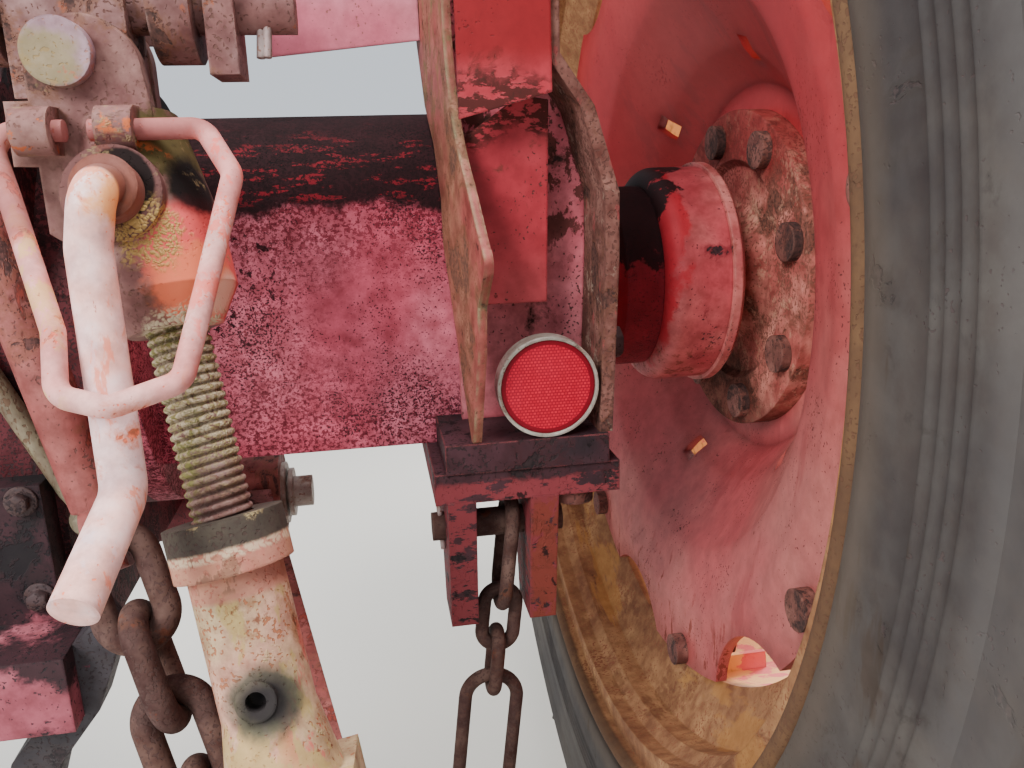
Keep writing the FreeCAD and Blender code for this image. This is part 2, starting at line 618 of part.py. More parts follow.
# Frame of the levelling rod, from above the knuckle down to the drop pin in the lower link
drop_y = S.link_pivot_y - S.link_reach * cosine(S.link_slope)
drop_z = S.link_pivot_z - S.link_reach * sine(S.link_slope)
rod_top_x = knuckle_x + S.rod_top_out
rod_top_y = pin_y + S.rod_top_forward
rod_fall = pin_z - drop_z
lean_x = sine(S.rod_lean_x) / cosine(S.rod_lean_x)
lean_y = (rod_top_y - drop_y) / rod_fall
rod_length = rod_fall * root(lean_x * lean_x + lean_y * lean_y + 1)
rod_turn = Turn(Vec(0, 0, -1), Vec(lean_x.value, -lean_y.value, -1).normalize())
rod_place = FreeCAD.Placement(Vec(rod_top_x.value, rod_top_y.value, pin_z.value), rod_turn)
fork_x = rod_top_x + rod_fall * lean_x

# Levelling box: gear case with the screw's neck below and the crank's boss behind
case_rise = S.box_low - S.box_top - S.box_round
box_parts = [
    cone("BoxShoulder", "Z", (0, 0, -S.box_top - S.box_round), S.box_round, S.box_radius,
         S.box_top_radius),
    rod("BoxCase", "Z", (0, 0, -S.box_low), case_rise, S.box_radius),
    cone("BoxNeck", "Z", (0, 0, -S.neck_end), S.neck_end - S.box_low, S.neck_radius, S.box_radius),
    rod("CrankBoss", "Y", (-S.crank_shift, -S.crank_boss_reach, -S.crank_level),
        S.crank_boss_reach, S.crank_boss_radius),
]
box_solid = moved(fuse("BoxSolid", box_parts), rod_place)

# Its head: a shield plate behind the knuckle, an ear in front and two lugs for the bail
shield_x = knuckle_x + S.shield_shift
shield_top = swivel_z - S.shield_step
box_head = [
    plate("BoxShield", "XZ", [
        (shield_x - S.shield_half, shield_top, -S.shield_round),
        (shield_x + S.shield_half, shield_top),
        (shield_x + S.shield_half + S.shield_flare, shield_top - S.shield_drop, -S.shield_foot),
        (shield_x - S.shield_half, shield_top - S.shield_drop - S.shield_skew),
    ], -(ear_back + S.ear_thick), S.ear_thick),
    block("FrontEar", (knuckle_x - S.ear_half, knuckle_x + S.ear_half),
          (ear_front, ear_front + S.ear_thick), (swivel_z - S.ear_drop, swivel_z)),
    rod("FrontEarEnd", "Y", (knuckle_x, ear_front, swivel_z), S.ear_thick, S.ear_half),
    block("BoxCrown", (knuckle_x - S.ear_half, knuckle_x + S.ear_half),
          (ear_back, ear_front + S.ear_thick),
          (swivel_z - S.ear_drop, swivel_z - S.knuckle_foot - S.side_gap)),
]
bail_lug_y = lesser(ear_back - S.bail_lug_stand,
                    rod_top_y - S.bail_lug_drop * lean_y - S.bail_clear)
bail_z = pin_z - S.bail_lug_drop
bail_left = knuckle_x - S.bail_left_out
bail_right = knuckle_x + S.bail_right_out
for i, start in enumerate((bail_left - S.lug_width / 2, bail_right - S.lug_width / 2)):
    box_head.append(block("BailLugBase%d" % i, (start, start + S.lug_width),
                          (bail_lug_y, ear_back + S.seam_overlap),
                          (bail_z - S.lug_radius, bail_z + S.lug_radius)))
    box_head.append(rod("BailLug%d" % i, "X", (start, bail_lug_y, bail_z), S.lug_width,
                        S.lug_radius))
box_bores = [
    rod("BoxSwivelBore", "Y", (knuckle_x, ear_back - S.hole_over, swivel_z),
        ear_span + S.hole_over * 2, S.swivel_radius + S.running_gap),
    rod("BailBore", "X", (bail_left - S.lug_width, bail_lug_y, bail_z),
        bail_right - bail_left + S.lug_width * 2, S.bail_radius + S.bail_play),
    moved(rod("CrankBore", "Y", (
        -S.crank_shift, -S.crank_boss_reach - S.hole_over, -S.crank_level),
        S.crank_bore_depth + S.hole_over, S.crank_hub_radius + S.running_gap), rod_place),
    moved(rod("ScrewBore", "Z", (0, 0, -S.neck_end - S.hole_over), S.screw_engaged + S.hole_over,
              S.screw_radius + S.running_gap), rod_place),
]
node(cut("LevellingBox", fuse("BoxWhole", [box_solid] + box_head), box_bores), "levelling_box")

# Crank: a hub in the box's boss and a round bar that bends down and back to the hand
crank_start = S.crank_bore_depth - S.crank_boss_reach
crank_hub = bent_bar([
    (-S.crank_shift, crank_start, -S.crank_level),
    (-S.crank_shift, -S.crank_hub_reach, -S.crank_level),
], S.crank_hub_radius, 1)
crank_bar = bent_bar([
    (-S.crank_shift, S.crank_overlap - S.crank_hub_reach, -S.crank_level),
    (-S.crank_shift, -S.crank_knee, -S.crank_level),
    (-S.crank_shift - S.crank_side, S.crank_lean / 2 - S.crank_knee,
     -S.crank_level - S.crank_bend * 2),
    (-S.crank_foot_in, S.crank_lean - S.crank_knee, -S.crank_level - S.crank_drop),
    (-S.crank_grip_in, -S.crank_grip_back, -S.crank_level - S.crank_drop - S.crank_grip_drop),
], S.crank_radius, S.crank_bend)
node(shaped("Crank", crank_hub.fuse(crank_bar)), "levelling_crank", rod_place)

# Bail: a wire loop hinged in the two lugs, which drops round the crank and holds it
bail_reach = S.lug_width / 2 + S.bail_inner
bail_loop = [
    tuple(rod_place.multVec(Vec(number(x - S.crank_shift), number(y - S.crank_knee),
                                number(z - S.crank_level))))
    for x, y, z in ((30, 8, -51), (16, -5, -86), (-11, -11, -90), (-29, -8, -81), (-27, -1, -56))
]
bail_bar = bent_bar([
    (bail_right - bail_reach, bail_lug_y, bail_z), (bail_right + 35, bail_lug_y, bail_z),
    (bail_right + 47, bail_lug_y - 13, bail_z - 20)] + bail_loop + [
    (bail_left - 10, bail_lug_y - 13, bail_z - 24), (bail_left - 19, bail_lug_y, bail_z),
    (bail_left + bail_reach, bail_lug_y, bail_z),
], S.bail_radius, S.bail_bend)
node(shaped("Bail", bail_bar), "crank_bail")

# Screw between the box and the lower tube
node(rod("LiftScrew", "Z", (0, 0, -S.collar_top - S.screw_in_tube),
         S.collar_top + S.screw_in_tube - S.neck_end + S.screw_engaged, S.screw_radius),
     "lift_screw", rod_place)

# Lower tube: a collar, a tube and a flared fork whose holes take the drop pin with play
fork_gap = S.link_thick / 2 + S.fork_play
tine_half = S.tine_width / 2
barrel_top = S.collar_top + S.collar_height
tube_parts = [
    rod("TubeCollar", "Z", (0, 0, -barrel_top), S.collar_height, S.collar_radius),
    rod("TubeBarrel", "Z", (0, 0, -S.tube_end), S.tube_end - barrel_top + S.seam_overlap,
        S.tube_radius),
    cone("TubeFlare", "Z", (0, 0, -S.tube_end - S.tube_flare), S.tube_flare + S.seam_overlap,
         fork_gap + S.tine_thick, S.tube_radius),
    rod("GreaseBoss", "Y", (0, -S.tube_radius - S.seam_overlap, -S.grease_boss_z),
        S.tube_radius, S.grease_boss_radius),
]
for i, start in enumerate((-fork_gap - S.tine_thick, fork_gap)):
    tube_parts.append(block("Tine%d" % i, (start, start + S.tine_thick), (-tine_half, tine_half),
                            (-rod_length, -S.tube_end - S.tube_flare / 2)))
    tube_parts.append(rod("TineEnd%d" % i, "X", (start, 0, -rod_length), S.tine_thick, tine_half))
tube_cuts = [
    block("ForkGap", (-fork_gap, fork_gap), (-S.tine_width, S.tine_width),
          (-rod_length - S.tine_width, -S.tube_end - S.tube_flare + S.tine_thick)),
    rod("TubeBore", "Z", (0, 0, -S.collar_top - S.tube_bore), S.tube_bore + S.hole_over,
        S.screw_radius + S.running_gap),
    rod("GreaseHole", "Y", (0, -S.tube_radius - S.seam_overlap * 2, -S.grease_boss_z),
        S.tube_radius / 2, S.grease_hole_radius),
]
tube_turned = moved(cut("TubeForm", fuse("TubeSolid", tube_parts), tube_cuts), rod_place)
fork_hole = rod("ForkHole", "X", (fork_x - S.tine_width * 2, drop_y, drop_z), S.tine_width * 4,
                S.drop_pin_radius + S.drop_slot_gap)
node(cut("LiftTube", tube_turned, [fork_hole]), "lift_tube")

# Lower link: a flat bar that is cranked outboard, with a ball eye at each end
link_place = FreeCAD.Placement(Vec(arm_x.value, S.link_pivot_y.value, S.link_pivot_z.value),
                               Turn(Vec(1, 0, 0), S.link_slope.value))
half = S.link_thick / 2
link_front = S.link_overlap - S.link_eye_radius
straight_x = fork_x - arm_x
straight_start = S.link_straight_length - S.link_reach
straight_end = -S.link_reach - S.link_straight_length
link_end = -S.link_length - link_front
link_plan = plate("LinkBar", "XY", [
    (-half, link_front), (straight_x - half, straight_start), (straight_x - half, straight_end),
    (S.link_spread_width - half, link_end), (S.link_spread_width + half, link_end),
    (straight_x + half, straight_end), (straight_x + half, straight_start), (half, link_front),
], -S.link_height / 2, S.link_height)
lug_start = straight_x + half
lug_y = straight_end + S.link_lug / 2
link_parts = [link_plan, block("LinkLug", (lug_start - S.seam_overlap, lug_start + S.link_lug),
                               (lug_y - S.link_lug / 2, lug_y + S.link_lug / 2),
                               (-S.link_lug_half, S.link_lug_half))]
link_tools = [
    rod("DropHole", "X", (straight_x - S.link_thick, -S.link_reach, 0), S.link_thick * 2,
        S.drop_pin_radius + S.running_gap),
    rod("LinkLugHole", "Z", (lug_start + S.link_lug / 2, lug_y, -S.link_lug_half - S.hole_over),
        S.link_lug_half * 2 + S.hole_over * 2, S.link_lug_hole),
]
balls = []
for i, (x, y, bore) in enumerate(((0, 0, S.link_pin_radius + S.running_gap),
                                  (S.link_spread_width, -S.link_length, S.link_rear_bore_radius))):
    eye_left = x - S.link_eye_width / 2
    link_parts.append(rod("LinkEye%d" % i, "X", (eye_left, y, 0), S.link_eye_width,
                          S.link_eye_radius))
    link_tools.append(rod("LinkEyeBore%d" % i, "X", (eye_left - S.hole_over, y, 0),
                          S.link_eye_width + S.hole_over * 2, S.link_ball_radius + S.running_gap))
    ball = rod("BallBody%d" % i, "X", (eye_left - S.link_ball_over, y, 0),
               S.link_eye_width + S.link_ball_over * 2, S.link_ball_radius)
    hole = rod("BallBore%d" % i, "X", (eye_left - S.link_ball_over - S.hole_over, y, 0),
               S.link_eye_width + S.link_ball_over * 2 + S.hole_over * 2, bore)
    balls.append(cut("Ball%d" % i, ball, [hole]))
node(cut("LowerLink", fuse("LinkSolid", link_parts), link_tools), "lower_link", link_place)
node(balls[0], "link_front_ball", link_place)
node(balls[1], "link_rear_ball", link_place)
drop_half = fork_gap + S.tine_thick + S.drop_pin_over
node(rod("DropPin", "X", (straight_x - drop_half, -S.link_reach, 0), drop_half * 2,
         S.drop_pin_radius), "drop_pin", link_place)

# Pin in the centre housing's boss that the front ball turns on
pin_start = S.case_width - S.link_pin_inner
pin_end = arm_x + S.link_eye_width / 2 + S.link_pin_outer
link_pin = rod("LinkPinShank", "X", (pin_start, S.link_pivot_y, S.link_pivot_z),
               pin_end - pin_start, S.link_pin_radius)
link_washer = rod("LinkPinWasher", "X", (
    pin_end - S.link_pin_outer + S.link_washer_gap, S.link_pivot_y, S.link_pivot_z),
    S.link_washer, S.link_washer_radius)
node(fuse("LinkPin", [link_pin, link_washer]), "link_front_pin")

# Axle housing: inner flange, rounded box section and round neck
house_end = S.case_width + S.house_length
house_back = -S.house_back
house_low = -S.house_low
box_start = S.case_width + S.flange_thick
neck_end = house_end + S.neck_length
house_parts = [
    plate("HouseBox", "YZ", [
        (house_back, house_low), (S.house_back, house_low),
        (S.house_back, S.house_shoulder, S.house_round), (S.house_crown, S.house_top),
        (-S.house_crown, S.house_top, S.house_round), (house_back, S.house_shoulder),
    ], box_start, house_end - box_start),
    rod("HouseFlange", "X", (S.case_width, 0, 0), S.flange_thick + S.seam_overlap,
        S.case_flange_radius),
    cone("HouseCone", "X", (house_end - S.seam_overlap, 0, 0), S.cone_length,
         S.house_low - S.seam_overlap, S.house_neck_radius),
    rod("HouseNeck", "X", (house_end - S.seam_overlap, 0, 0), S.neck_length + S.seam_overlap,
        S.house_neck_radius),
]
shaft_start = house_end - S.shaft_in
shaft_tunnel = rod("ShaftTunnel", "X", (shaft_start - S.tunnel_gap, 0, 0),
                   neck_end - shaft_start + S.tunnel_gap * 2, S.half_shaft_radius + S.tunnel_gap)
node(cut("AxleHousing", fuse("HouseSolid", house_parts), [shaft_tunnel]), "axle_housing")

# Bearing bell on the neck's end, and its cover ring
bell_end = neck_end + S.bell_length
ring_start = bell_end - S.ring_width
bell_bore = S.half_shaft_radius + S.running_gap
ring_bore = S.half_shaft_radius + S.tunnel_gap
node(turned("BearingBell", [
    (neck_end, bell_bore), (ring_start, bell_bore), (ring_start, S.bell_radius),
    (neck_end + S.bell_round, S.bell_radius, S.bell_round), (neck_end, S.bell_radius - S.bell_round),
]), "bearing_bell")
node(turned("CoverRing", [
    (ring_start, ring_bore), (bell_end, ring_bore), (bell_end, S.ring_radius - S.ring_bevel),
    (bell_end - S.ring_bevel, S.ring_radius), (ring_start, S.ring_radius),
]), "bell_cover_ring")

# Half shaft with its hub flange, in one forging, and the eight wheel bolts
hub_face = bell_end + S.hub_stand
hub_out = hub_face + S.hub_thick
hub_radius = S.hub_bolt_circle / 2 + S.hub_edge
hub_collar = S.hub_bolt_circle / 2 - S.hub_collar_step
pilot_radius = S.disc_bore - S.hub_pilot_gap
groove = hub_face + S.hub_recess
shaft_solid = turned("ShaftSolid", [
    (shaft_start, 0), (hub_out + S.hub_pilot, 0), (hub_out + S.hub_pilot, pilot_radius),
    (hub_out, pilot_radius), (hub_out, hub_radius), (hub_face, hub_radius),
    (hub_face, hub_collar), (groove, hub_collar - S.hub_recess),
    (groove, S.half_shaft_radius + S.hub_fillet * 2), (hub_face, S.half_shaft_radius + S.hub_fillet),
    (hub_face - S.hub_fillet, S.half_shaft_radius), (shaft_start, S.half_shaft_radius),
])
wheel_count = int(S.wheel_bolt_count.value)
hub_depth = S.hub_thick + S.disc_thick
hub_holes = []
disc_cuts = []
bolts = []
for i in range(wheel_count):
    angle = S.hub_bolt_turn + 360 * i / S.wheel_bolt_count.value
    reach = S.hub_bolt_circle / 2
    hub_holes.append(around("X", hub_face - S.hole_over, reach, angle, hub_depth,
                            S.hub_bolt_radius + S.running_gap, "HubHole%d" % i))
    disc_cuts.append(around("X", hub_out - S.hole_over, reach, angle,
                            S.disc_thick + S.hole_over * 2, S.hub_bolt_radius + S.running_gap,
                            "DiscHubHole%d" % i))
    bolts.append(fuse("HubBolt%d" % i, [
        around("X", hub_face - S.seam_overlap, reach, angle, hub_depth + S.seam_overlap * 2,
               S.hub_bolt_radius, "HubBoltShank%d" % i),
        around("X", hub_face - S.hub_bolt_head, reach, angle, S.hub_bolt_head,
               S.hub_bolt_head_radius, "HubBoltHead%d" % i),
        around("X", hub_face + hub_depth, reach, angle, S.hub_nut,
               S.hub_bolt_head_radius, "HubBoltNut%d" % i),
    ]))
node(cut("HalfShaft", shaft_solid, hub_holes), "half_shaft")
node(fuse("WheelBolts", bolts), "wheel_bolts")

# Rolled radii of the rim, which the disc, the brackets and the tyre follow
flange_r = S.rim_flange_radius
bead_r = flange_r - S.flange_height
well_r = bead_r - S.well_depth
well_inner = well_r - S.rim_wall
rim_bolt_reach = well_r - S.rim_bolt_inset

# Pressed wheel disc, dished inboard, with a scalloped edge and square holes
wall = S.disc_thick
disc_flat = hub_radius + S.disc_flat_step
disc_ridge = disc_flat + S.disc_ridge_step
disc_edge = well_inner - S.disc_edge_gap
disc_rim_r = disc_edge - S.disc_rim_land
ridge_x = hub_out - S.disc_ridge_depth
slope_x = hub_out - S.disc_slope_depth
disc_x = hub_out - S.disc_depth
slope_r = disc_ridge + (disc_rim_r - disc_ridge) * S.disc_slope_share
disc_solid = turned("DiscSolid", [
    (hub_out, S.disc_bore), (hub_out + wall, S.disc_bore), (hub_out + wall, disc_flat),
    (ridge_x + wall, disc_ridge), (slope_x + wall, slope_r), (disc_x + wall, disc_rim_r),
    (disc_x + wall, disc_edge), (disc_x, disc_edge), (disc_x, disc_rim_r), (slope_x, slope_r),
    (ridge_x, disc_ridge), (hub_out, disc_flat),
])
bracket_in = disc_x + wall
bracket_out = bracket_in + S.bracket_thick
bracket_half = S.bracket_width / 2
rim_bolts = []
brackets = []
bracket_holes = []
for i in range(wheel_count):
    angle = S.rim_bolt_turn + 360 * i / S.wheel_bolt_count.value
    disc_cuts.append(around("X", disc_x - S.hole_over, well_r + S.scallop_out,
                            angle + 180 / S.wheel_bolt_count.value, wall + S.hole_over * 2,
                            S.scallop_radius, "Scallop%d" % i))
    disc_cuts.append(around("X", disc_x - S.hole_over, rim_bolt_reach, angle,
                            wall + S.hole_over * 2, S.rim_bolt_radius + S.running_gap,
                            "RimBoltHole%d" % i))
    bracket_holes.append(around("X", bracket_in - S.hole_over, rim_bolt_reach, angle,
                                S.bracket_thick + S.hole_over * 2,
                                S.rim_bolt_radius + S.running_gap, "BracketHole%d" % i))
    bolt_start = disc_x - S.rim_bolt_head
    rim_bolts.append(fuse("RimBolt%d" % i, [
        around("X", bolt_start, rim_bolt_reach, angle, S.rim_bolt_head,
               S.rim_bolt_head_radius, "RimBoltHead%d" % i),
        around("X", bolt_start, rim_bolt_reach, angle, bracket_out - bolt_start + S.rim_bolt_head * 2,
               S.rim_bolt_radius, "RimBoltShank%d" % i),
        around("X", bracket_out, rim_bolt_reach, angle, S.rim_bolt_head,
               S.rim_bolt_head_radius, "RimBoltNut%d" % i),
    ]))
    bracket_parts = [
        block("BracketFace%d" % i, (bracket_in, bracket_out), (-bracket_half, bracket_half),
              (rim_bolt_reach, well_r - S.seam_overlap)),
        rod("BracketLobe%d" % i, "X", (bracket_in, 0, rim_bolt_reach), S.bracket_thick,
            bracket_half),
    ]
    for k, edge in enumerate((-bracket_half, bracket_half - S.gusset_thick)):
        bracket_parts.append(block("Gusset%d%d" % (i, k),
                                   (bracket_in, bracket_in + S.bracket_length),
                                   (edge, edge + S.gusset_thick),
                                   (rim_bolt_reach, well_r - S.seam_overlap)))
    turn = FreeCAD.Placement(Vec(), Turn(Vec(1, 0, 0), angle.value))
    brackets.append(moved(fuse("Bracket%d" % i, bracket_parts), turn))
half_hole = S.square_hole / 2
for i in range(int(S.square_count.value)):
    hole = block("SquareHole%d" % i, (ridge_x - S.square_hole, ridge_x + S.square_hole * 2),
                 (-half_hole, half_hole),
                 (disc_ridge - half_hole, disc_ridge + half_hole))
    spot = S.square_turn.value + 360 * i / S.square_count.value
    disc_cuts.append(moved(hole, FreeCAD.Placement(Vec(), Turn(Vec(1, 0, 0), spot))))
node(cut("WheelDisc", disc_solid, disc_cuts), "wheel_disc")
node(fuse("RimBolts", rim_bolts), "rim_bolts")

# Rim: rolled section with a curled lip, a bead seat, a ledge and a deep well, the same each side
rim_in = disc_x - S.rim_inset
rim_out = rim_in + S.rim_width
lip = S.lip_radius
lip_foot = flange_r - lip * 2
wall_in = lip * 2
wall_out = wall_in + S.rim_wall
bead_end = wall_in + S.bead_width
step_end = bead_end + S.step_width
ledge_end = step_end + S.ledge_width
well_start = ledge_end + S.well_slope
ledge_r = bead_r - S.step_depth
skew = S.rim_skew
inner_side = [(wall_in, lip_foot), (wall_in, bead_r - S.rim_wall), (bead_end, bead_r - S.rim_wall),
              (step_end, ledge_r - S.rim_wall), (ledge_end, ledge_r - S.rim_wall),
              (well_start, well_inner)]
tyre_side = [(well_start + skew, well_r), (ledge_end + skew, ledge_r), (step_end + skew, ledge_r),
             (bead_end + skew, bead_r), (wall_out, bead_r)]
rim_profile = [(rim_in + x, r) for x, r in inner_side]
rim_profile += [(rim_out - x, r) for x, r in reversed(inner_side)]
rim_profile += [(rim_out - lip, lip_foot, lip), (rim_out - lip, flange_r),
                (rim_out - wall_out + lip, flange_r, lip), (rim_out - wall_out, flange_r - lip)]
rim_profile += [(rim_out - x, r) for x, r in reversed(tyre_side)]
rim_profile += [(rim_in + x, r) for x, r in tyre_side]
rim_profile += [(rim_in + wall_out, flange_r - lip, lip), (rim_in + wall_out - lip, flange_r),
                (rim_in + lip, flange_r, lip), (rim_in + lip, lip_foot)]
rim_solid = turned("RimSolid", rim_profile)
node(cut("WheelRim", fuse("RimWhole", [rim_solid] + brackets), bracket_holes), "wheel_rim")

# Tyre: a hollow carcass between the rim's flanges, with slanted lugs from shoulder to crown
middle = rim_in + S.rim_width / 2
side = S.tyre_width / 2
seat = S.rim_width / 2 - wall_out - S.bead_seat_gap
tyre_r = flange_r + S.tyre_height
belly_r = flange_r + S.belly_height
shoulder_r = flange_r + S.shoulder_height
bead_in = bead_r + S.bead_clear
bead_top = flange_r + S.flange_clear
tread_r = tyre_r - S.tread_drop
cavity_r = tyre_r - S.crown_thick
flank_half = (shoulder_r - bead_top) / 2
flank_bulge = side - seat
flank_round = (flank_half * flank_half + flank_bulge * flank_bulge) / (flank_bulge * 2)
carcass = turned("Carcass", [
    (middle - seat, bead_in), (middle - seat, bead_top, -flank_round),
    (middle - side + S.shoulder_in, shoulder_r, -S.edge_round),
    (middle - side + S.tread_in, tread_r, -S.crown_round),
    (middle + side - S.tread_in, tread_r, -S.edge_round),
    (middle + side - S.shoulder_in, shoulder_r, -flank_round), (middle + seat, bead_top),
    (middle + seat, bead_in), (middle + seat - S.bead_foot, bead_in),
    (middle + side - S.tyre_wall, belly_r), (middle + side - S.cavity_in, cavity_r),
    (middle - side + S.cavity_in, cavity_r), (middle - side + S.tyre_wall, belly_r),
    (middle - seat + S.bead_foot, bead_in),
])
lug_shapes = []
for side_sign, half_step in ((-1, 0), (1, 0.5)):
    for i in range(int(S.lug_count.value)):
        angle = 360 * (i + half_step) / S.lug_count.value
        lug = Part.makeBox(number(side + S.lug_reach), number(S.lug_thick),
                           number(S.lug_height + S.lug_root))
        lug.translate(Vec(0, -number(S.lug_thick / 2), number(tyre_r - S.lug_root)))
        if side_sign < 0:
            lug.rotate(Vec(), Vec(0, 0, 1), 180)
        lug.rotate(Vec(), Vec(0, 0, 1), S.lug_slant.value * side_sign)
        lug.translate(Vec(middle.value, 0, 0))
        lug.rotate(Vec(), Vec(1, 0, 0), angle)
        lug_shapes.append(lug)
doc.recompute()
band_half = side - S.lug_edge
band = Part.makeCylinder(number(tyre_r + S.lug_height), number(band_half * 2),
                         Vec(number(middle - band_half), 0, 0), Vec(1, 0, 0))
tyre_shape = carcass.Shape.fuse([lug.common(band) for lug in lug_shapes])
node(shaped("Tyre", tyre_shape), "tyre")

# Fender post's inner plate, bolted beside the housing and turned a little outboard at the back
post_x = house_end - S.post_inset
post_place = FreeCAD.Placement(Vec(post_x.value, S.post_front.value, 0),
                               Turn(Vec(0, 0, 1), S.post_turn.value))
base_top = S.base_height - S.house_low
unit = S.post_top / 300
post_edge = [(unit * -54, base_top)]
post_edge += [(unit * y, unit * z) for y, z in (
    (0, 39), (0, 66), (14, 98), (36, 122), (55, 167), (112, 300), (-22, 300))]
post_edge += [(unit * -27, unit * 172, unit * -121), (unit * -67, unit * 75)]
post_edge += [(unit * -95, unit * 43, unit * 9), (unit * -97, unit * 28)]
post_edge += [(unit * -83, unit * 11), (unit * -79, unit * -16), (unit * -59, base_top)]
node(plate("PostPlate", "YZ", post_edge, 0, S.post_wall), "post_inner_plate", post_place)


def post_face(y):
    """Where the inner plate's inboard face lies at a given Y."""
    return post_x + (S.post_front - y) * sine(S.post_turn) / cosine(S.post_turn)


# Post's web facing back, and the strip bent along the web's outboard edge
plate_skin = S.post_wall / cosine(S.post_turn)
web_left = post_face(S.web_y) + plate_skin + S.seam_gap
strip_line = [(post_x + x, z) for x, z in (
    (S.strip_foot_out, base_top), (S.strip_knee_out, S.strip_knee_height),
    (S.strip_knee_out, S.strip_bend_height), (S.strip_slope_out, S.strip_slope_height),
    (S.strip_neck_out, S.strip_neck_height), (S.strip_neck_out, S.post_top))]
web_line = [(web_left, base_top)] + strip_line + [(web_left, S.post_top)]
node(plate("PostWeb", "XZ", web_line, -(S.web_y + S.web_thick), S.web_thick), "post_web")
strip_in = [(x + S.seam_gap, z) for x, z in strip_line]
strip_out = [(x + S.seam_gap + S.strip_thick, z) for x, z in reversed(strip_line)]
node(plate("PostStrip", "XZ", strip_in + strip_out, -S.strip_front, S.strip_front - S.strip_back),
     "post_outer_strip")

# Skirt plates behind the web, the lower one with a bowed top, and the fender's inner panel
skirt_left = post_face(S.skirt_y) + plate_skin + S.seam_gap
skirt_right = post_x + S.skirt_width
node(plate("SkirtLower", "XZ", [
    (skirt_left, S.skirt_side_height), (skirt_left, S.skirt_low), (skirt_right, S.skirt_low),
    (skirt_right + S.skirt_bow_width, S.skirt_top_height),
    (skirt_right + S.skirt_bow_width - S.skirt_cut_width, S.skirt_top_height + S.skirt_bow_width),
], -(S.skirt_y + S.skirt_thick), S.skirt_thick), "skirt_lower_plate")
upper_left = post_face(S.strip_back)
upper_top = S.post_top - S.skirt_inset
upper_y = S.strip_back - S.seam_gap
node(plate("SkirtUpper", "XZ", [
    (upper_left, S.upper_low_height), (skirt_right, S.upper_low_height + S.upper_rise_height),
    (skirt_right, upper_top), (upper_left, upper_top),
], -upper_y, S.skirt_thick), "skirt_upper_plate")
panel_right = post_face(S.panel_y + S.panel_thick) - S.seam_gap
panel_left = post_x - S.panel_reach
node(plate("FenderPanel", "XZ", [
    (panel_left, S.panel_low), (panel_right, S.panel_low + S.panel_rise),
    (panel_right, S.post_top), (panel_left, S.post_top),
], -(S.panel_y + S.panel_thick), S.panel_thick), "fender_panel")

# Reflector: a cup on a stud in the web, and the red lens in it
lamp_x = post_x + S.reflector_out
cup_back = S.reflector_face + S.reflector_depth
cup_parts = [
    rod("CupDisc", "Y", (lamp_x, S.reflector_face, S.reflector_z), S.reflector_depth,
        S.reflector_radius),
    rod("CupStud", "Y", (lamp_x, cup_back - S.seam_overlap, S.reflector_z),
        S.web_y - cup_back + S.seam_overlap, S.reflector_stud),
]
cup_hollow = rod("CupHollow", "Y", (lamp_x, S.reflector_face - S.hole_over, S.reflector_z),
                 S.reflector_depth - S.reflector_rim + S.hole_over,
                 S.reflector_radius - S.reflector_rim)
node(cut("ReflectorCup", fuse("CupSolid", cup_parts), [cup_hollow]), "reflector_cup")
node(rod("ReflectorLens", "Y", (lamp_x, S.reflector_face + S.reflector_rim / 2, S.reflector_z),
         S.reflector_depth - S.reflector_rim * 1.5,
         S.reflector_radius - S.reflector_rim - S.seam_gap), "reflector_lens")

# Bracket base beside the housing, and the clamp plate below with its two chain ears
base_left = post_x - S.base_in
base_right = post_x + S.base_out
node(block("BracketBase", (base_left, base_right), (S.base_back, house_back),
           (house_low, base_top)), "bracket_base")
clamp_low = house_low - S.clamp_thick
clamp_parts = [block("ClampPlate", (post_x - S.clamp_in, post_x + S.clamp_out),
                     (S.base_back + S.side_gap, S.clamp_front), (clamp_low, house_low))]
ear_low = clamp_low - S.chain_ear_drop
ear_left = base_left
ear_right = post_x + S.right_ear_out
for i, start in enumerate((ear_left, ear_right)):
    clamp_parts.append(plate("ChainEar%d" % i, "YZ", [
        (S.chain_pin_y - S.ear_top_half, clamp_low + S.seam_overlap),
        (S.chain_pin_y + S.ear_top_half, clamp_low + S.seam_overlap),
        (S.chain_pin_y + S.ear_low_half, ear_low), (S.chain_pin_y - S.ear_low_half, ear_low),
    ], start, S.chain_ear_thick))
pin_length = ear_right + S.chain_ear_thick - ear_left + S.chain_pin_over * 2
chain_pin_z = clamp_low - S.chain_pin_drop
pin_hole = rod("ChainPinHole", "X", (ear_left - S.chain_pin_over, S.chain_pin_y, chain_pin_z),
               pin_length, S.chain_pin_radius + S.running_gap)
node(cut("BracketClamp", fuse("ClampSolid", clamp_parts), [pin_hole]), "bracket_clamp")
node(rod("ChainPin", "X", (ear_left - S.chain_pin_over, S.chain_pin_y, chain_pin_z), pin_length,
         S.chain_pin_radius), "chain_pin")
bolt_left = base_left + S.clamp_bolt_in
bolt_right = base_right - S.clamp_bolt_in
bolt_front = S.clamp_front - S.clamp_bolt_in
clamp_bolts = [
    rod("ClampBolt%d" % i, "Z", (x, y, clamp_low - S.clamp_bolt_head), S.clamp_bolt_head,
        S.clamp_bolt_radius)
    for i, (x, y) in enumerate((
        (bolt_left, S.chain_pin_y + S.ear_top_half * 1.6), (bolt_left, bolt_front),
        (bolt_right, S.base_back + S.clamp_bolt_in), (bolt_right, bolt_front)))
]
node(fuse("ClampBolts", clamp_bolts), "clamp_bolts")

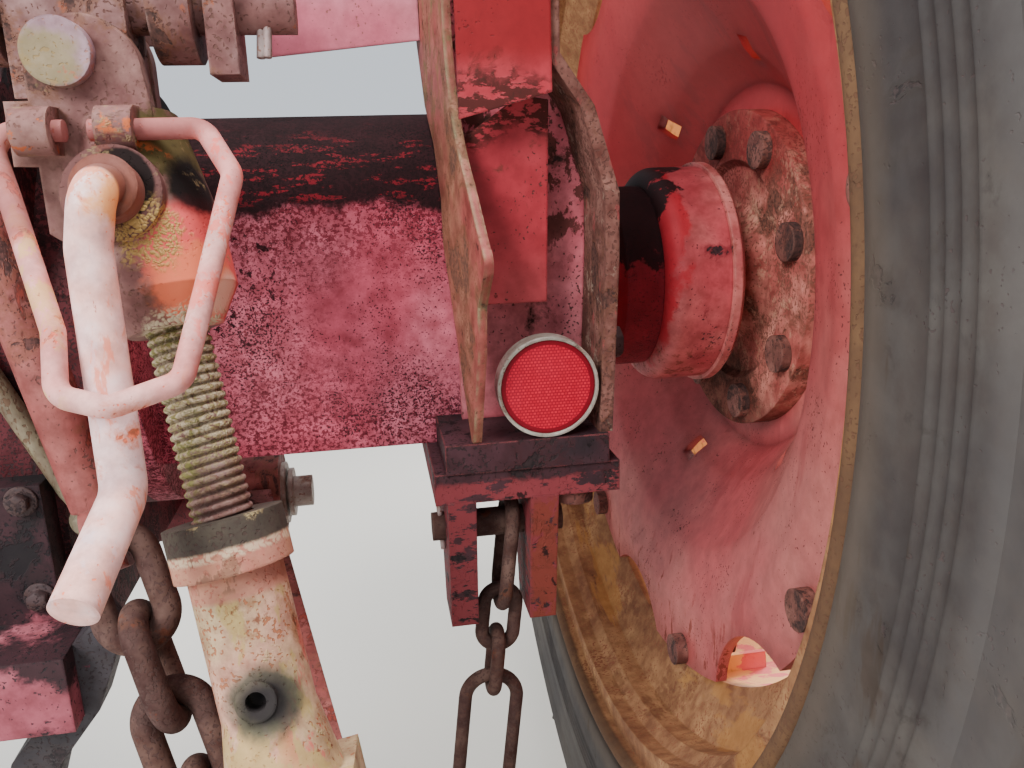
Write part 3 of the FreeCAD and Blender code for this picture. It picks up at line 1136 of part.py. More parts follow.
# Check chain on the pin: a shackle, round-wire links and a long end link
chain_x = (ear_left + S.chain_ear_thick + ear_right) / 2 + S.chain_shift
chain_top = Vec(chain_x.value, S.chain_pin_y.value,
                number(chain_pin_z + S.chain_pin_radius + S.link_gap))
chain_ahead = Vec(-sine(S.chain_lean).value, 0, -cosine(S.chain_lean).value)
check_links = [
    (S.shackle_pitch, S.shackle_width, S.chain_wire), (S.chain_pitch, S.chain_width, S.chain_wire),
    (S.chain_pitch, S.chain_width, S.chain_wire), (S.end_link_pitch, S.end_link_width, S.chain_wire),
]
check_shapes = chain(chain_top, chain_ahead, Vec(0, 1, 0), check_links)
node(shaped("CheckChain", Part.makeCompound(check_shapes)), "check_chain")

# Pick-up hitch rod on the long pin's left end, its ring and the heavy chain below it
pull_top = Vec(number(pin_left + S.hitch_pin_radius), pin_y.value, pin_z.value)
pull_low = pull_top + Vec(S.pull_out.value, -S.pull_back.value, -S.pull_drop.value)
eye_half = Vec(number(S.pull_eye_width / 2), 0, 0)
pull_eye = Part.makeCylinder(S.pull_eye_radius.value, S.pull_eye_width.value, pull_top - eye_half,
                             Vec(1, 0, 0))
pull_knee = pull_top - Vec(0, 0, S.pull_straight.value)
pull_bar = bent_bar([tuple(pull_top), tuple(pull_knee), tuple(pull_low)], S.pull_rod_radius,
                    S.pull_bend)
pull_hole = Part.makeCylinder(number(S.hitch_pin_radius + S.running_gap),
                              number(S.pull_eye_width * 4), pull_top - eye_half * 4, Vec(1, 0, 0))
hang = Vec(S.hang_out.value, -S.hang_back.value, -S.hang_drop.value).normalize()
hang_side = (Vec(1, 0, 0) - hang * hang.x).normalize()
ring_centre = pull_low + hang * S.ring_stand.value
ring_hole_radius = S.heavy_wire + S.ring_play
ring_half = hang_side * number(S.pull_ring_width / 2)
pull_ring = Part.makeCylinder(number(ring_hole_radius + S.ring_wall), S.pull_ring_width.value,
                              ring_centre - ring_half, hang_side)
ring_hole = Part.makeCylinder(ring_hole_radius.value, number(S.pull_ring_width * 3),
                              ring_centre - ring_half * 3, hang_side)
pull_solid = pull_eye.fuse([pull_bar, pull_ring]).cut([pull_hole, ring_hole])
node(shaped("PullRod", pull_solid), "hitch_pull_rod")
heavy_links = [(S.heavy_pitch, S.heavy_width, S.heavy_wire)] * 4
heavy_shapes = chain(ring_centre + hang * S.heavy_wire.value, hang, hang_side, heavy_links)
node(shaped("LiftChain", Part.makeCompound(heavy_shapes)), "hitch_chain")

# Drawbar frame behind the centre housing: a hanger plate, a cross bar and a curved hook arm
hanger_right = S.case_width - S.hanger_inset
hanger_back = case_back - S.hanger_thick
node(block("DrawbarHanger", (hanger_right - S.hanger_width, hanger_right), (hanger_back, case_back),
           (S.hanger_low, S.hanger_top)), "drawbar_hanger")
bar_back = hanger_back - S.frame_bar_depth
bar_top = S.frame_bar_top
bar_low = bar_top - S.frame_bar_height
hook_x = hanger_right + S.frame_bar_over
node(block("DrawbarBar", (S.frame_bar_end, hook_x), (bar_back, hanger_back), (bar_low, bar_top)),
     "drawbar_cross_bar")
node(plate("HookArm", "XZ", [
    (hook_x, bar_low), (hook_x, bar_top), (hook_x + 16, bar_top + 14), (hook_x + 24, bar_top),
    (hook_x + 8, bar_top - 40), (hook_x - 16, bar_top - 70), (hook_x - 30, bar_top - 112),
    (hook_x - 56, bar_top - 112), (hook_x - 40, bar_top - 66), (hook_x - 20, bar_low),
], -(bar_back + S.hook_inset + S.hook_thick), S.hook_thick), "drawbar_hook_arm")

doc.recompute()
for item in doc.Objects:
    if "Invalid" in item.State or "Error" in item.State:
        raise RuntimeError("not built: " + item.Label + " " + " ".join(item.State))
for item in nodes:
    if item.Shape.isNull() or not item.Shape.isValid():
        raise RuntimeError("no sound solid: " + item.Label)
os.makedirs("parts", exist_ok=True)
for item in nodes:
    item.Shape.exportStep("parts/%s.step" % item.Label)
    print(item.Label, len(item.Shape.Solids), round(item.Shape.Volume / 1000), "cm3")
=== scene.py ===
import math

import bpy
from mathutils import Matrix, Vector


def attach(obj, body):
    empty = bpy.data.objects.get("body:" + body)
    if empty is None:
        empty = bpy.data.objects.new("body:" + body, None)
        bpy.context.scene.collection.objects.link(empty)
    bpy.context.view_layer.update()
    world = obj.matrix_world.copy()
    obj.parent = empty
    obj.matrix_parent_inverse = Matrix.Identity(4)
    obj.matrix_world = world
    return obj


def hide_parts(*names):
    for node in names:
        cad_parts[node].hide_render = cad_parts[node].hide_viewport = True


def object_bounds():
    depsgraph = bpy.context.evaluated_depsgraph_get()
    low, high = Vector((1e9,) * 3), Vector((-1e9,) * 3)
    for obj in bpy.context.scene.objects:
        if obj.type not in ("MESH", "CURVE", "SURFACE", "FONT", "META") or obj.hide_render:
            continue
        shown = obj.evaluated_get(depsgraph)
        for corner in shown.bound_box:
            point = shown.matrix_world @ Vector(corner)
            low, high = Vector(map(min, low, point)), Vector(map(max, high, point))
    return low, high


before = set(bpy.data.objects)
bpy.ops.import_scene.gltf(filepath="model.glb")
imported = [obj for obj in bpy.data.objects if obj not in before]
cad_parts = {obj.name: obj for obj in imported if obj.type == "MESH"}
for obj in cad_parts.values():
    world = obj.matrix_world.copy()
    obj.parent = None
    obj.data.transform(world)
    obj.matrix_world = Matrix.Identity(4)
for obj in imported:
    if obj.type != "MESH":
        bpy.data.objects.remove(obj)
cad_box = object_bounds()


# Camera, floor and lights.
# The camera stands a little over half a metre behind the axle, left of the wheel, and looks
# forward and slightly down, as the photograph does. Large soft lamps stand round the part.
camera_place = Vector((0.5321, -0.6183, 0.0813))
camera_turn = math.radians(9.32)
camera_dip = math.radians(-14.35)
camera_roll = math.radians(-1.76)
camera_data = bpy.data.cameras.new("camera")
camera_data.sensor_width = 36
camera_data.lens = 36 * 836 / 1024
camera_data.clip_start = 0.01
camera_data.clip_end = 50
camera = bpy.data.objects.new("camera", camera_data)
bpy.context.scene.collection.objects.link(camera)
ahead = Vector((
    math.sin(camera_turn) * math.cos(camera_dip),
    math.cos(camera_turn) * math.cos(camera_dip),
    math.sin(camera_dip),
))
level = Vector((math.cos(camera_turn), -math.sin(camera_turn), 0))
above = level.cross(ahead)
right = level * math.cos(camera_roll) + above * math.sin(camera_roll)
up = above * math.cos(camera_roll) - level * math.sin(camera_roll)
camera.matrix_world = Matrix((
    (right.x, up.x, -ahead.x, camera_place.x),
    (right.y, up.y, -ahead.y, camera_place.y),
    (right.z, up.z, -ahead.z, camera_place.z),
    (0, 0, 0, 1),
))
bpy.context.scene.camera = camera

floor_level = cad_box[0].z - 0.001
bpy.ops.object.select_all(action="DESELECT")
bpy.ops.mesh.primitive_plane_add(size=24, location=(0.5, 1, floor_level))
floor = bpy.context.object
floor.name = "floor"
floor_finish = bpy.data.materials.new("pale_floor")
floor_finish.use_nodes = True
floor_shader = floor_finish.node_tree.nodes["Principled BSDF"]
floor_shader.inputs["Base Color"].default_value = (0.62, 0.61, 0.57, 1)
floor_shader.inputs["Roughness"].default_value = 0.85
floor.data.materials.append(floor_finish)

room = bpy.data.worlds.new("room")
bpy.context.scene.world = room
room.use_nodes = True
room.node_tree.nodes["Background"].inputs["Color"].default_value = (0.86, 0.92, 1.0, 1)
room.node_tree.nodes["Background"].inputs["Strength"].default_value = 0.95


def soft_lamp(name, place, target, size, power, tint):
    lamp_data = bpy.data.lights.new(name, "AREA")
    lamp_data.shape = "DISK"
    lamp_data.size = size
    lamp_data.energy = power
    lamp_data.color = tint
    lamp = bpy.data.objects.new(name, lamp_data)
    bpy.context.scene.collection.objects.link(lamp)
    lamp.location = place
    lamp.rotation_euler = (Vector(target) - Vector(place)).to_track_quat("-Z", "Y").to_euler()


soft_lamp("lamp_behind_left", (-1.4, -2.3, 1.9), (0.5, 0, 0), 1.5, 150, (1.0, 0.98, 0.97))
soft_lamp("lamp_overhead", (0.9, -0.5, 2.6), (0.6, 0, 0), 1.4, 100, (1.0, 0.97, 0.95))
soft_lamp("lamp_beyond_wheel", (2.3, 1.4, -0.2), (0.8, 0, -0.25), 1.0, 130, (1.0, 0.94, 0.86))


# Housings of the axle: grey cast iron, brushed over with red paint.
# The paint has faded to pink on the side and flaked to black metal, and oil and dirt have
# baked into a thick black band along the top, with dry strokes of red left in it.
def lay(tree, kind, sockets=None, **settings):
    """One shader node, its settings, and its sockets tied to other sockets or set."""
    item = tree.nodes.new("ShaderNode" + kind)
    for name, value in settings.items():
        setattr(item, name, value)
    for name, value in (sockets or {}).items():
        if isinstance(value, bpy.types.NodeSocket):
            tree.links.new(value, item.inputs[name])
        else:
            item.inputs[name].default_value = value
    return item


def seen(red, green, blue):
    """A finish's colour from how it looks in daylight, each part out of 255."""
    parts = [value / 255 for value in (red, green, blue)]
    return tuple(p / 12.92 if p < 0.04 else ((p + 0.055) / 1.055) ** 2.4 for p in parts) + (1,)


def effect(name, takes, gives):
    """An empty node group with named sockets, and its two ends."""
    tree = bpy.data.node_groups.new(name, "ShaderNodeTree")
    for label, kind, value in takes:
        socket = tree.interface.new_socket(label, in_out="INPUT", socket_type="NodeSocket" + kind)
        socket.default_value = value
    for label, kind in gives:
        tree.interface.new_socket(label, in_out="OUTPUT", socket_type="NodeSocket" + kind)
    return tree, tree.nodes.new("NodeGroupInput").outputs, tree.nodes.new("NodeGroupOutput").inputs


def ramp(tree, value, low, high, least=0.0, most=1.0):
    """A smooth step of value from low to high."""
    return lay(tree, "MapRange", {
        "Value": value, "From Min": low, "From Max": high, "To Min": least, "To Max": most,
    }, interpolation_type="SMOOTHSTEP").outputs["Result"]


def blended(tree, share, first, second, way="MIX"):
    """Two colours mixed by a share."""
    item = lay(tree, "Mix", data_type="RGBA", blend_type=way)
    for spot, value in ((0, share), (6, first), (7, second)):
        if isinstance(value, bpy.types.NodeSocket):
            tree.links.new(value, item.inputs[spot])
        else:
            item.inputs[spot].default_value = value
    return item.outputs[2]


def sums(tree, way, first, second, third=None):
    """One sum on two or three values."""
    values = {0: first, 1: second}
    if third is not None:
        values[2] = third
    return lay(tree, "Math", values, operation=way).outputs[0]


def cloudy(tree, where, scale, detail, roughness=0.6, distortion=0.0):
    """Soft noise, from 0 to 1 with most of it near the middle."""
    return lay(tree, "TexNoise", {"Vector": where, "Scale": scale, "Detail": detail,
                                  "Roughness": roughness, "Distortion": distortion}).outputs["Fac"]


flaked_paint, given, gives = effect("flaked_paint", [
    ("Where", "Vector", (0, 0, 0)), ("Paint", "Color", (0.4, 0.05, 0.05, 1)),
    ("Faded", "Color", (0.5, 0.15, 0.15, 1)), ("Bare", "Color", (0.02, 0.015, 0.012, 1)),
    ("Halo", "Color", (0.1, 0.05, 0.03, 1)), ("Patch", "Float", 6), ("Flaking", "Float", 0.4),
    ("Speckle", "Float", 0.4), ("Mottle", "Float", 0.6), ("Grit", "Float", 460),
], [("Color", "Color"), ("Bare share", "Float"), ("Height", "Float")])
cloud = cloudy(flaked_paint, given["Where"], given["Patch"], 3)
fine = cloudy(flaked_paint, given["Where"], 75, 4, 0.65)
flake = cloudy(flaked_paint, given["Where"], 30, 6, 0.68, 0.4)
grit = cloudy(flaked_paint, given["Where"], given["Grit"], 1)
speckle_cloud = cloudy(flaked_paint, given["Where"], 24, 2)
coat = blended(flaked_paint, ramp(flaked_paint, cloud, 0.38, 0.64), given["Paint"], given["Faded"])
coat = blended(flaked_paint, given["Mottle"], coat, lay(flaked_paint, "CombineColor", {
    "Red": ramp(flaked_paint, fine, 0.25, 0.75, 0.5, 1.4),
    "Green": ramp(flaked_paint, fine, 0.25, 0.75, 0.35, 1.5),
    "Blue": ramp(flaked_paint, fine, 0.25, 0.75, 0.35, 1.5),
}).outputs["Color"], "MULTIPLY")
edge = sums(flaked_paint, "MULTIPLY_ADD", given["Flaking"], -0.42, 0.78)
chips = ramp(flaked_paint, flake, edge, sums(flaked_paint, "ADD", edge, 0.025))
halo = ramp(flaked_paint, flake, sums(flaked_paint, "ADD", edge, -0.07), edge)
fleck_edge = sums(flaked_paint, "ADD", sums(flaked_paint, "MULTIPLY_ADD", given["Speckle"], -0.3, 0.82),
                  sums(flaked_paint, "MULTIPLY", sums(flaked_paint, "SUBTRACT", 0.5, speckle_cloud), 0.5))
flecks = ramp(flaked_paint, grit, fleck_edge, sums(flaked_paint, "ADD", fleck_edge, 0.05))
worn = sums(flaked_paint, "MAXIMUM", chips, sums(flaked_paint, "MULTIPLY", flecks, 0.9))
bare = blended(flaked_paint, ramp(flaked_paint, grit, 0.3, 0.7), given["Bare"],
               blended(flaked_paint, 1.0, given["Bare"], (2.4, 2.0, 1.9, 1), "MULTIPLY"))
coat = blended(flaked_paint, sums(flaked_paint, "MULTIPLY", halo, 0.7), coat, given["Halo"])
flaked_paint.links.new(blended(flaked_paint, worn, coat, bare), gives["Color"])
flaked_paint.links.new(worn, gives["Bare share"])
flaked_paint.links.new(
    sums(flaked_paint, "SUBTRACT", sums(flaked_paint, "MULTIPLY", fine, 0.35),
         sums(flaked_paint, "MULTIPLY", worn, 0.6)), gives["Height"])

ragged_band, given, gives = effect("ragged_band", [
    ("Where", "Vector", (0, 0, 0)), ("Along", "Vector", (0, 0, 1)), ("Level", "Float", 0.0),
    ("Spread", "Float", 0.004), ("Ragged", "Float", 0.04), ("Size", "Float", 22),
], [("Share", "Float")])
reach = lay(ragged_band, "VectorMath", {0: given["Where"], 1: given["Along"]}, operation="DOT_PRODUCT")
ragged = sums(ragged_band, "SUBTRACT", cloudy(ragged_band, given["Where"], given["Size"], 6, 0.66), 0.5)
past = sums(ragged_band, "SUBTRACT", sums(
    ragged_band, "MULTIPLY_ADD", ragged, given["Ragged"], reach.outputs["Value"]), given["Level"])
ragged_band.links.new(
    ramp(ragged_band, past, sums(ragged_band, "MULTIPLY", given["Spread"], -1), given["Spread"]), gives["Share"])

ragged_spot, given, gives = effect("ragged_spot", [
    ("Where", "Vector", (0, 0, 0)), ("Place", "Vector", (0, 0, 0)), ("Radius", "Float", 0.03),
    ("Spread", "Float", 0.004), ("Ragged", "Float", 0.04), ("Size", "Float", 40),
], [("Share", "Float")])
away = lay(ragged_spot, "VectorMath", {0: given["Where"], 1: given["Place"]}, operation="DISTANCE")
ragged = sums(ragged_spot, "SUBTRACT", cloudy(ragged_spot, given["Where"], given["Size"], 5, 0.66), 0.5)
past = sums(ragged_spot, "SUBTRACT", given["Radius"], sums(
    ragged_spot, "MULTIPLY_ADD", ragged, given["Ragged"], away.outputs["Value"]))
ragged_spot.links.new(
    ramp(ragged_spot, past, sums(ragged_spot, "MULTIPLY", given["Spread"], -1), given["Spread"]), gives["Share"])

dry_strokes, given, gives = effect("dry_strokes", [
    ("Where", "Vector", (0, 0, 0)), ("Grain", "Vector", (12, 90, 90)), ("Amount", "Float", 0.5),
], [("Share", "Float")])
strokes = cloudy(dry_strokes, lay(dry_strokes, "VectorMath", {0: given["Where"], 1: given["Grain"]},
                                  operation="MULTIPLY").outputs["Vector"], 1.0, 5, 0.68)
least_stroke = sums(dry_strokes, "MULTIPLY_ADD", given["Amount"], -0.3, 0.72)
dry_strokes.links.new(ramp(dry_strokes, strokes, least_stroke, sums(dry_strokes, "ADD", least_stroke, 0.05)),
                      gives["Share"])

crusted, given, gives = effect("crusted", [
    ("Where", "Vector", (0, 0, 0)), ("Size", "Float", 260), ("Amount", "Float", 0.5),
], [("Share", "Float"), ("Height", "Float")])
warp = lay(crusted, "TexNoise", {"Vector": given["Where"], "Scale": 140, "Detail": 1}).outputs["Color"]
grains = lay(crusted, "TexVoronoi", {
    "Vector": lay(crusted, "VectorMath", {0: warp, 1: (0.006, 0.006, 0.006), 2: given["Where"]},
                  operation="MULTIPLY_ADD").outputs["Vector"],
    "Scale": given["Size"]}).outputs["Distance"]
grown = sums(crusted, "MULTIPLY_ADD", given["Amount"], -0.5, 0.75)
patchy = ramp(crusted, cloudy(crusted, given["Where"], 55, 4, 0.68), grown, sums(crusted, "ADD", grown, 0.08))
crusted.links.new(sums(crusted, "MULTIPLY", patchy, ramp(crusted, grains, 0.75, 0.45)), gives["Share"])
crusted.links.new(sums(crusted, "MULTIPLY", patchy, ramp(crusted, grains, 0.7, 0.0)), gives["Height"])

worn_edge, given, gives = effect("worn_edge", [
    ("Where", "Vector", (0, 0, 0)), ("Radius", "Float", 0.003), ("Amount", "Float", 0.5),
], [("Share", "Float"), ("Normal", "Vector")])
rounded = lay(worn_edge, "Bevel", {"Radius": given["Radius"]}, samples=2).outputs["Normal"]
flat = lay(worn_edge, "NewGeometry").outputs["Normal"]
agree = lay(worn_edge, "VectorMath", {0: rounded, 1: flat}, operation="DOT_PRODUCT").outputs["Value"]
rub = cloudy(worn_edge, given["Where"], 60, 3, 0.68)
turned_edge = ramp(worn_edge, sums(worn_edge, "SUBTRACT", 1.0, agree), 0.02, 0.22)
worn_edge.links.new(
    sums(worn_edge, "MULTIPLY", turned_edge, sums(worn_edge, "MULTIPLY", given["Amount"],
         ramp(worn_edge, rub, 0.35, 0.6))), gives["Share"])
worn_edge.links.new(rounded, gives["Normal"])


def masked(tree, where, masks):
    """The product of several masks, each a node group with its own settings."""
    share = height = None
    for group, settings in masks:
        mask = lay(tree, "Group", node_tree=group)
        tree.links.new(where, mask.inputs["Where"])
        for label, value in settings.items():
            mask.inputs[label].default_value = value
        part = mask.outputs["Share"]
        share = part if share is None else sums(tree, "MULTIPLY", share, part)
        if group is crusted:
            height = mask.outputs["Height"]
    return share, share if height is None else sums(tree, "MULTIPLY", share, height)


least_lift = 0.35                       # a layer under this stands too little proud to show


def worked_iron(name, paint, faded, bare, halo=(0.1, 0.045, 0.03, 1), patch=6, flaking=0.4, speckle=0.4,
                mottle=0.6, rim=(0.35, 0.3, 0.26, 1), rim_share=0.5, rim_radius=0.002, layers=(),
                rough=(0.6, 0.85), metal=0.0, bump=0.7, depth=0.0008, stretch=(1, 1, 1), coat_weight=0.0,
                shine=0.3, grit_size=460, detail=None):
    """Painted or bare iron: paint, flaking, worn edges and layers of dirt laid over them."""
    finish = bpy.data.materials.new(name)
    finish.use_nodes = True
    tree = finish.node_tree
    shader = tree.nodes["Principled BSDF"]
    where = lay(tree, "TexCoord").outputs["Object"]
    grain = lay(tree, "Mapping", {"Vector": where, "Scale": stretch}).outputs["Vector"]
    body = lay(tree, "Group", node_tree=flaked_paint)
    tree.links.new(grain, body.inputs["Where"])
    for label, value in (("Paint", paint), ("Faded", faded), ("Bare", bare), ("Halo", halo), ("Patch", patch),
                         ("Flaking", flaking), ("Speckle", speckle), ("Mottle", mottle), ("Grit", grit_size)):
        body.inputs[label].default_value = value
    edges = lay(tree, "Group", node_tree=worn_edge)
    tree.links.new(where, edges.inputs["Where"])
    edges.inputs["Radius"].default_value = rim_radius
    edges.inputs["Amount"].default_value = rim_share
    color = blended(tree, edges.outputs["Share"], body.outputs["Color"], rim)
    roughness = ramp(tree, body.outputs["Bare share"], 0, 1, rough[0], rough[1])
    height = body.outputs["Height"]
    for tint, share, gloss, lift, masks in layers:
        cover, raised = masked(tree, where, masks)
        shaded = blended(tree, 0.6, tint, body.outputs["Color"], "SOFT_LIGHT")
        cover = sums(tree, "MULTIPLY", cover, share)
        color = blended(tree, cover, color, shaded)
        roughness = lay(tree, "Mix", {0: cover, 2: roughness, 3: gloss}).outputs[0]
        if abs(lift) > least_lift:
            height = sums(tree, "MULTIPLY_ADD", raised, lift, height)
    if detail:
        color, height = detail(tree, where, color, height)
    relief = lay(tree, "Bump", {
        "Height": height, "Normal": edges.outputs["Normal"], "Strength": bump, "Distance": depth})
    tree.links.new(color, shader.inputs["Base Color"])
    tree.links.new(roughness, shader.inputs["Roughness"])
    tree.links.new(relief.outputs["Normal"], shader.inputs["Normal"])
    shader.inputs["Metallic"].default_value = metal
    shader.inputs["Coat Weight"].default_value = coat_weight
    shader.inputs["Specular IOR Level"].default_value = shine
    return finish


def dress(finish, *nodes):
    """Gives CAD nodes a finish in place of the plain one they come with."""
    for name in nodes:
        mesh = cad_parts[name].data
        mesh.materials.clear()
        mesh.materials.append(finish)


oily_black = seen(27, 19, 21)
rust_brown = seen(92, 58, 45)
housing_paint = worked_iron(
    "housing_red", seen(190, 80, 98), seen(206, 110, 126), seen(36, 22, 26), halo=seen(112, 36, 46),
    patch=7, flaking=0.1, speckle=0.62, mottle=0.75, grit_size=760, rim=seen(90, 45, 48), depth=0.0009,
    shine=0.2, layers=[
        (seen(106, 36, 50), 0.85, 0.8, 0.3, [
            (ragged_band, {"Level": 0.03, "Spread": 0.025, "Ragged": 0.08, "Size": 40}),
            (dry_strokes, {"Grain": (420, 500, 500), "Amount": 0.75})]),
        (seen(94, 34, 46), 0.85, 0.85, 0.4, [
            (ragged_band, {"Along": (0, 0, -1), "Level": 0.045, "Spread": 0.03, "Ragged": 0.1, "Size": 22}),
            (dry_strokes, {"Grain": (340, 380, 380), "Amount": 0.72})]),
        (seen(92, 34, 44), 0.8, 0.85, 0.3, [
            (ragged_band, {"Along": (-1, 0, 0), "Level": -0.5, "Spread": 0.03, "Ragged": 0.12, "Size": 14}),
            (dry_strokes, {"Grain": (380, 420, 420), "Amount": 0.66})]),
        (oily_black, 0.97, 0.8, 0.6, [
            (ragged_band, {"Level": 0.062, "Spread": 0.004, "Ragged": 0.05, "Size": 20})]),
        (seen(134, 34, 50), 0.9, 0.7, -0.2, [
            (ragged_band, {"Level": 0.062, "Spread": 0.008, "Ragged": 0.03}),
            (ragged_band, {"Along": (0, 0, -1), "Level": -0.1, "Spread": 0.012, "Ragged": 0.05}),
            (dry_strokes, {"Grain": (45, 130, 190), "Amount": 0.62}),
            (dry_strokes, {"Grain": (420, 420, 420), "Amount": 0.85})]),
        (seen(38, 22, 24), 0.95, 0.85, 0.4, [
            (ragged_spot, {"Place": (0.44, -0.09, 0.02), "Radius": 0.05, "Ragged": 0.1}),
            (dry_strokes, {"Grain": (160, 160, 160), "Amount": 0.5})]),
        (seen(118, 34, 46), 0.95, 0.6, 0.1, [
            (ragged_band, {"Along": (1, 0, 0), "Level": 0.692, "Spread": 0.003, "Ragged": 0.02})]),
        (oily_black, 0.95, 0.8, 0.5, [
            (ragged_band, {"Along": (1, 0, 0), "Level": 0.692, "Spread": 0.003, "Ragged": 0.02}),
            (ragged_band, {"Along": (0, 0.3, 1), "Level": 0.0, "Spread": 0.004, "Ragged": 0.14, "Size": 24})]),
    ])
dress(housing_paint, "axle_housing")
casing_paint = worked_iron(
    "casing_red", seen(88, 34, 40), seen(112, 44, 50), seen(36, 26, 28), halo=seen(66, 30, 32),
    patch=5, flaking=0.35, speckle=0.8, mottle=0.8, grit_size=620, rim=seen(104, 54, 54), depth=0.001,
    shine=0.25, layers=[
        (seen(38, 28, 30), 0.8, 0.65, 0.5, [
            (dry_strokes, {"Grain": (14, 14, 10), "Amount": 0.72}),
            (dry_strokes, {"Grain": (260, 260, 260), "Amount": 0.95})]),
        (seen(34, 26, 28), 0.9, 0.6, 0.5, [
            (ragged_band, {"Level": 0.1, "Spread": 0.05, "Ragged": 0.16, "Size": 12}),
            (dry_strokes, {"Grain": (120, 120, 120), "Amount": 0.9})]),
        (seen(78, 66, 56), 0.6, 0.9, 0.4, [(dry_strokes, {"Grain": (90, 90, 60), "Amount": 0.3})]),
    ])
dress(casing_paint, "centre_housing", "lift_cover", "power_shaft_cap")


# Bearing bell at the outer end of the housing: the same casting, turned round where it
# carries the outer bearing. Its paint has peeled to black on the inner half.
bell_paint = worked_iron(
    "bell_red", seen(176, 70, 76), seen(190, 104, 102), seen(40, 24, 28), halo=seen(120, 34, 42),
    patch=10, flaking=0.3, speckle=0.35, rim=seen(170, 90, 84), depth=0.001, layers=[
        # Crimson paint on the inner end, made brighter than the paint is: partly painted light against the shade there.
        (seen(186, 52, 68), 0.9, 0.6, 0.0, [
            (ragged_band, {"Along": (-1, 0, 0.15), "Level": -0.736, "Spread": 0.003, "Ragged": 0.05, "Size": 26})]),
        (oily_black, 0.97, 0.7, 0.5, [
            (ragged_band, {"Along": (-1, 0, 0.8), "Level": -0.69, "Spread": 0.002, "Ragged": 0.08, "Size": 34})]),
        (oily_black, 0.85, 0.7, 0.4, [
            (ragged_band, {"Along": (-1, 0, 0.15), "Level": -0.72, "Spread": 0.003, "Ragged": 0.05, "Size": 26}),
            (dry_strokes, {"Grain": (70, 70, 50), "Amount": 0.42})]),
        (seen(118, 84, 66), 0.6, 0.9, 0.3, [
            (ragged_band, {"Along": (0, 0, -1), "Level": 0.04, "Spread": 0.015, "Ragged": 0.05}),
            (dry_strokes, {"Grain": (120, 120, 120), "Amount": 0.6})]),
    ])
dress(bell_paint, "bearing_bell")
ring_paint = worked_iron(
    "bell_ring_red", seen(172, 78, 80), seen(196, 120, 112), seen(60, 40, 38), halo=seen(130, 60, 52),
    patch=14, flaking=0.4, speckle=0.5, rim=seen(214, 150, 138), rim_share=0.8)
dress(ring_paint, "bell_cover_ring")


# Half shaft and its forged flange: bare steel gone over to dusty red rust, with eight
# hexagon wheel bolts whose heads have darkened.
flange_rust = worked_iron(
    "flange_rust", seen(168, 88, 80), seen(188, 122, 108), seen(84, 56, 48), halo=seen(120, 72, 58),
    patch=22, flaking=0.45, speckle=0.8, mottle=0.9, rim=seen(190, 120, 106), rough=(0.85, 0.95),
    depth=0.0012, shine=0.15, layers=[
        (seen(196, 160, 140), 0.8, 0.95, 0.4, [(crusted, {"Size": 330, "Amount": 0.42})]),
        (seen(74, 48, 40), 0.75, 0.95, 0.3, [
            (ragged_band, {"Along": (0, 0.4, -0.9), "Level": 0.05, "Spread": 0.03, "Ragged": 0.08, "Size": 30})]),
        (seen(136, 48, 52), 0.7, 0.7, 0.0, [
            (ragged_band, {"Along": (0, 0.2, 1), "Level": 0.06, "Spread": 0.02, "Ragged": 0.07, "Size": 25})]),
    ])
dress(flange_rust, "half_shaft")
bolt_rust = worked_iron(
    "bolt_rust", seen(104, 62, 56), seen(128, 84, 74), seen(50, 36, 34), halo=seen(90, 54, 46),
    patch=40, flaking=0.6, speckle=0.8, mottle=0.9, rim=seen(170, 118, 104), rough=(0.8, 0.95), depth=0.0012)
dress(bolt_rust, "wheel_bolts", "rim_bolts", "clamp_bolts")


# Wheel disc: pressed plate, red on the inner face, chalky and streaked, with scratches where
# branches have rubbed it. The edges of its waves are pressed soft, not sharp.
disc_paint = worked_iron(
    "disc_red", seen(168, 68, 70), seen(176, 98, 92), seen(60, 30, 30), halo=seen(130, 50, 48),
    patch=5, flaking=0.16, speckle=0.42, mottle=0.35, rim_share=0.0, rim_radius=0.022, rough=(0.5, 0.8),
    depth=0.0004, layers=[
        (seen(176, 36, 48), 0.8, 0.5, 0.0, [
            (ragged_band, {"Along": (0, 0.2, 1), "Level": 0.06, "Spread": 0.08, "Ragged": 0.12, "Size": 9})]),
        (seen(146, 52, 58), 0.4, 0.5, 0.0, [(dry_strokes, {"Grain": (8, 22, 6), "Amount": 0.42})]),
        (seen(206, 140, 130), 0.5, 0.8, 0.0, [(dry_strokes, {"Grain": (60, 400, 14), "Amount": 0.12})]),
        (seen(64, 40, 36), 0.85, 0.9, 0.2, [(dry_strokes, {"Grain": (60, 210, 70), "Amount": 0.02})]),
        (seen(120, 66, 50), 0.8, 0.9, 0.3, [
            (ragged_band, {"Along": (0, 0, -1), "Level": 0.235, "Spread": 0.02, "Ragged": 0.1, "Size": 25}),
            (dry_strokes, {"Grain": (90, 120, 40), "Amount": 0.5})]),
    ])
dress(disc_paint, "wheel_disc")
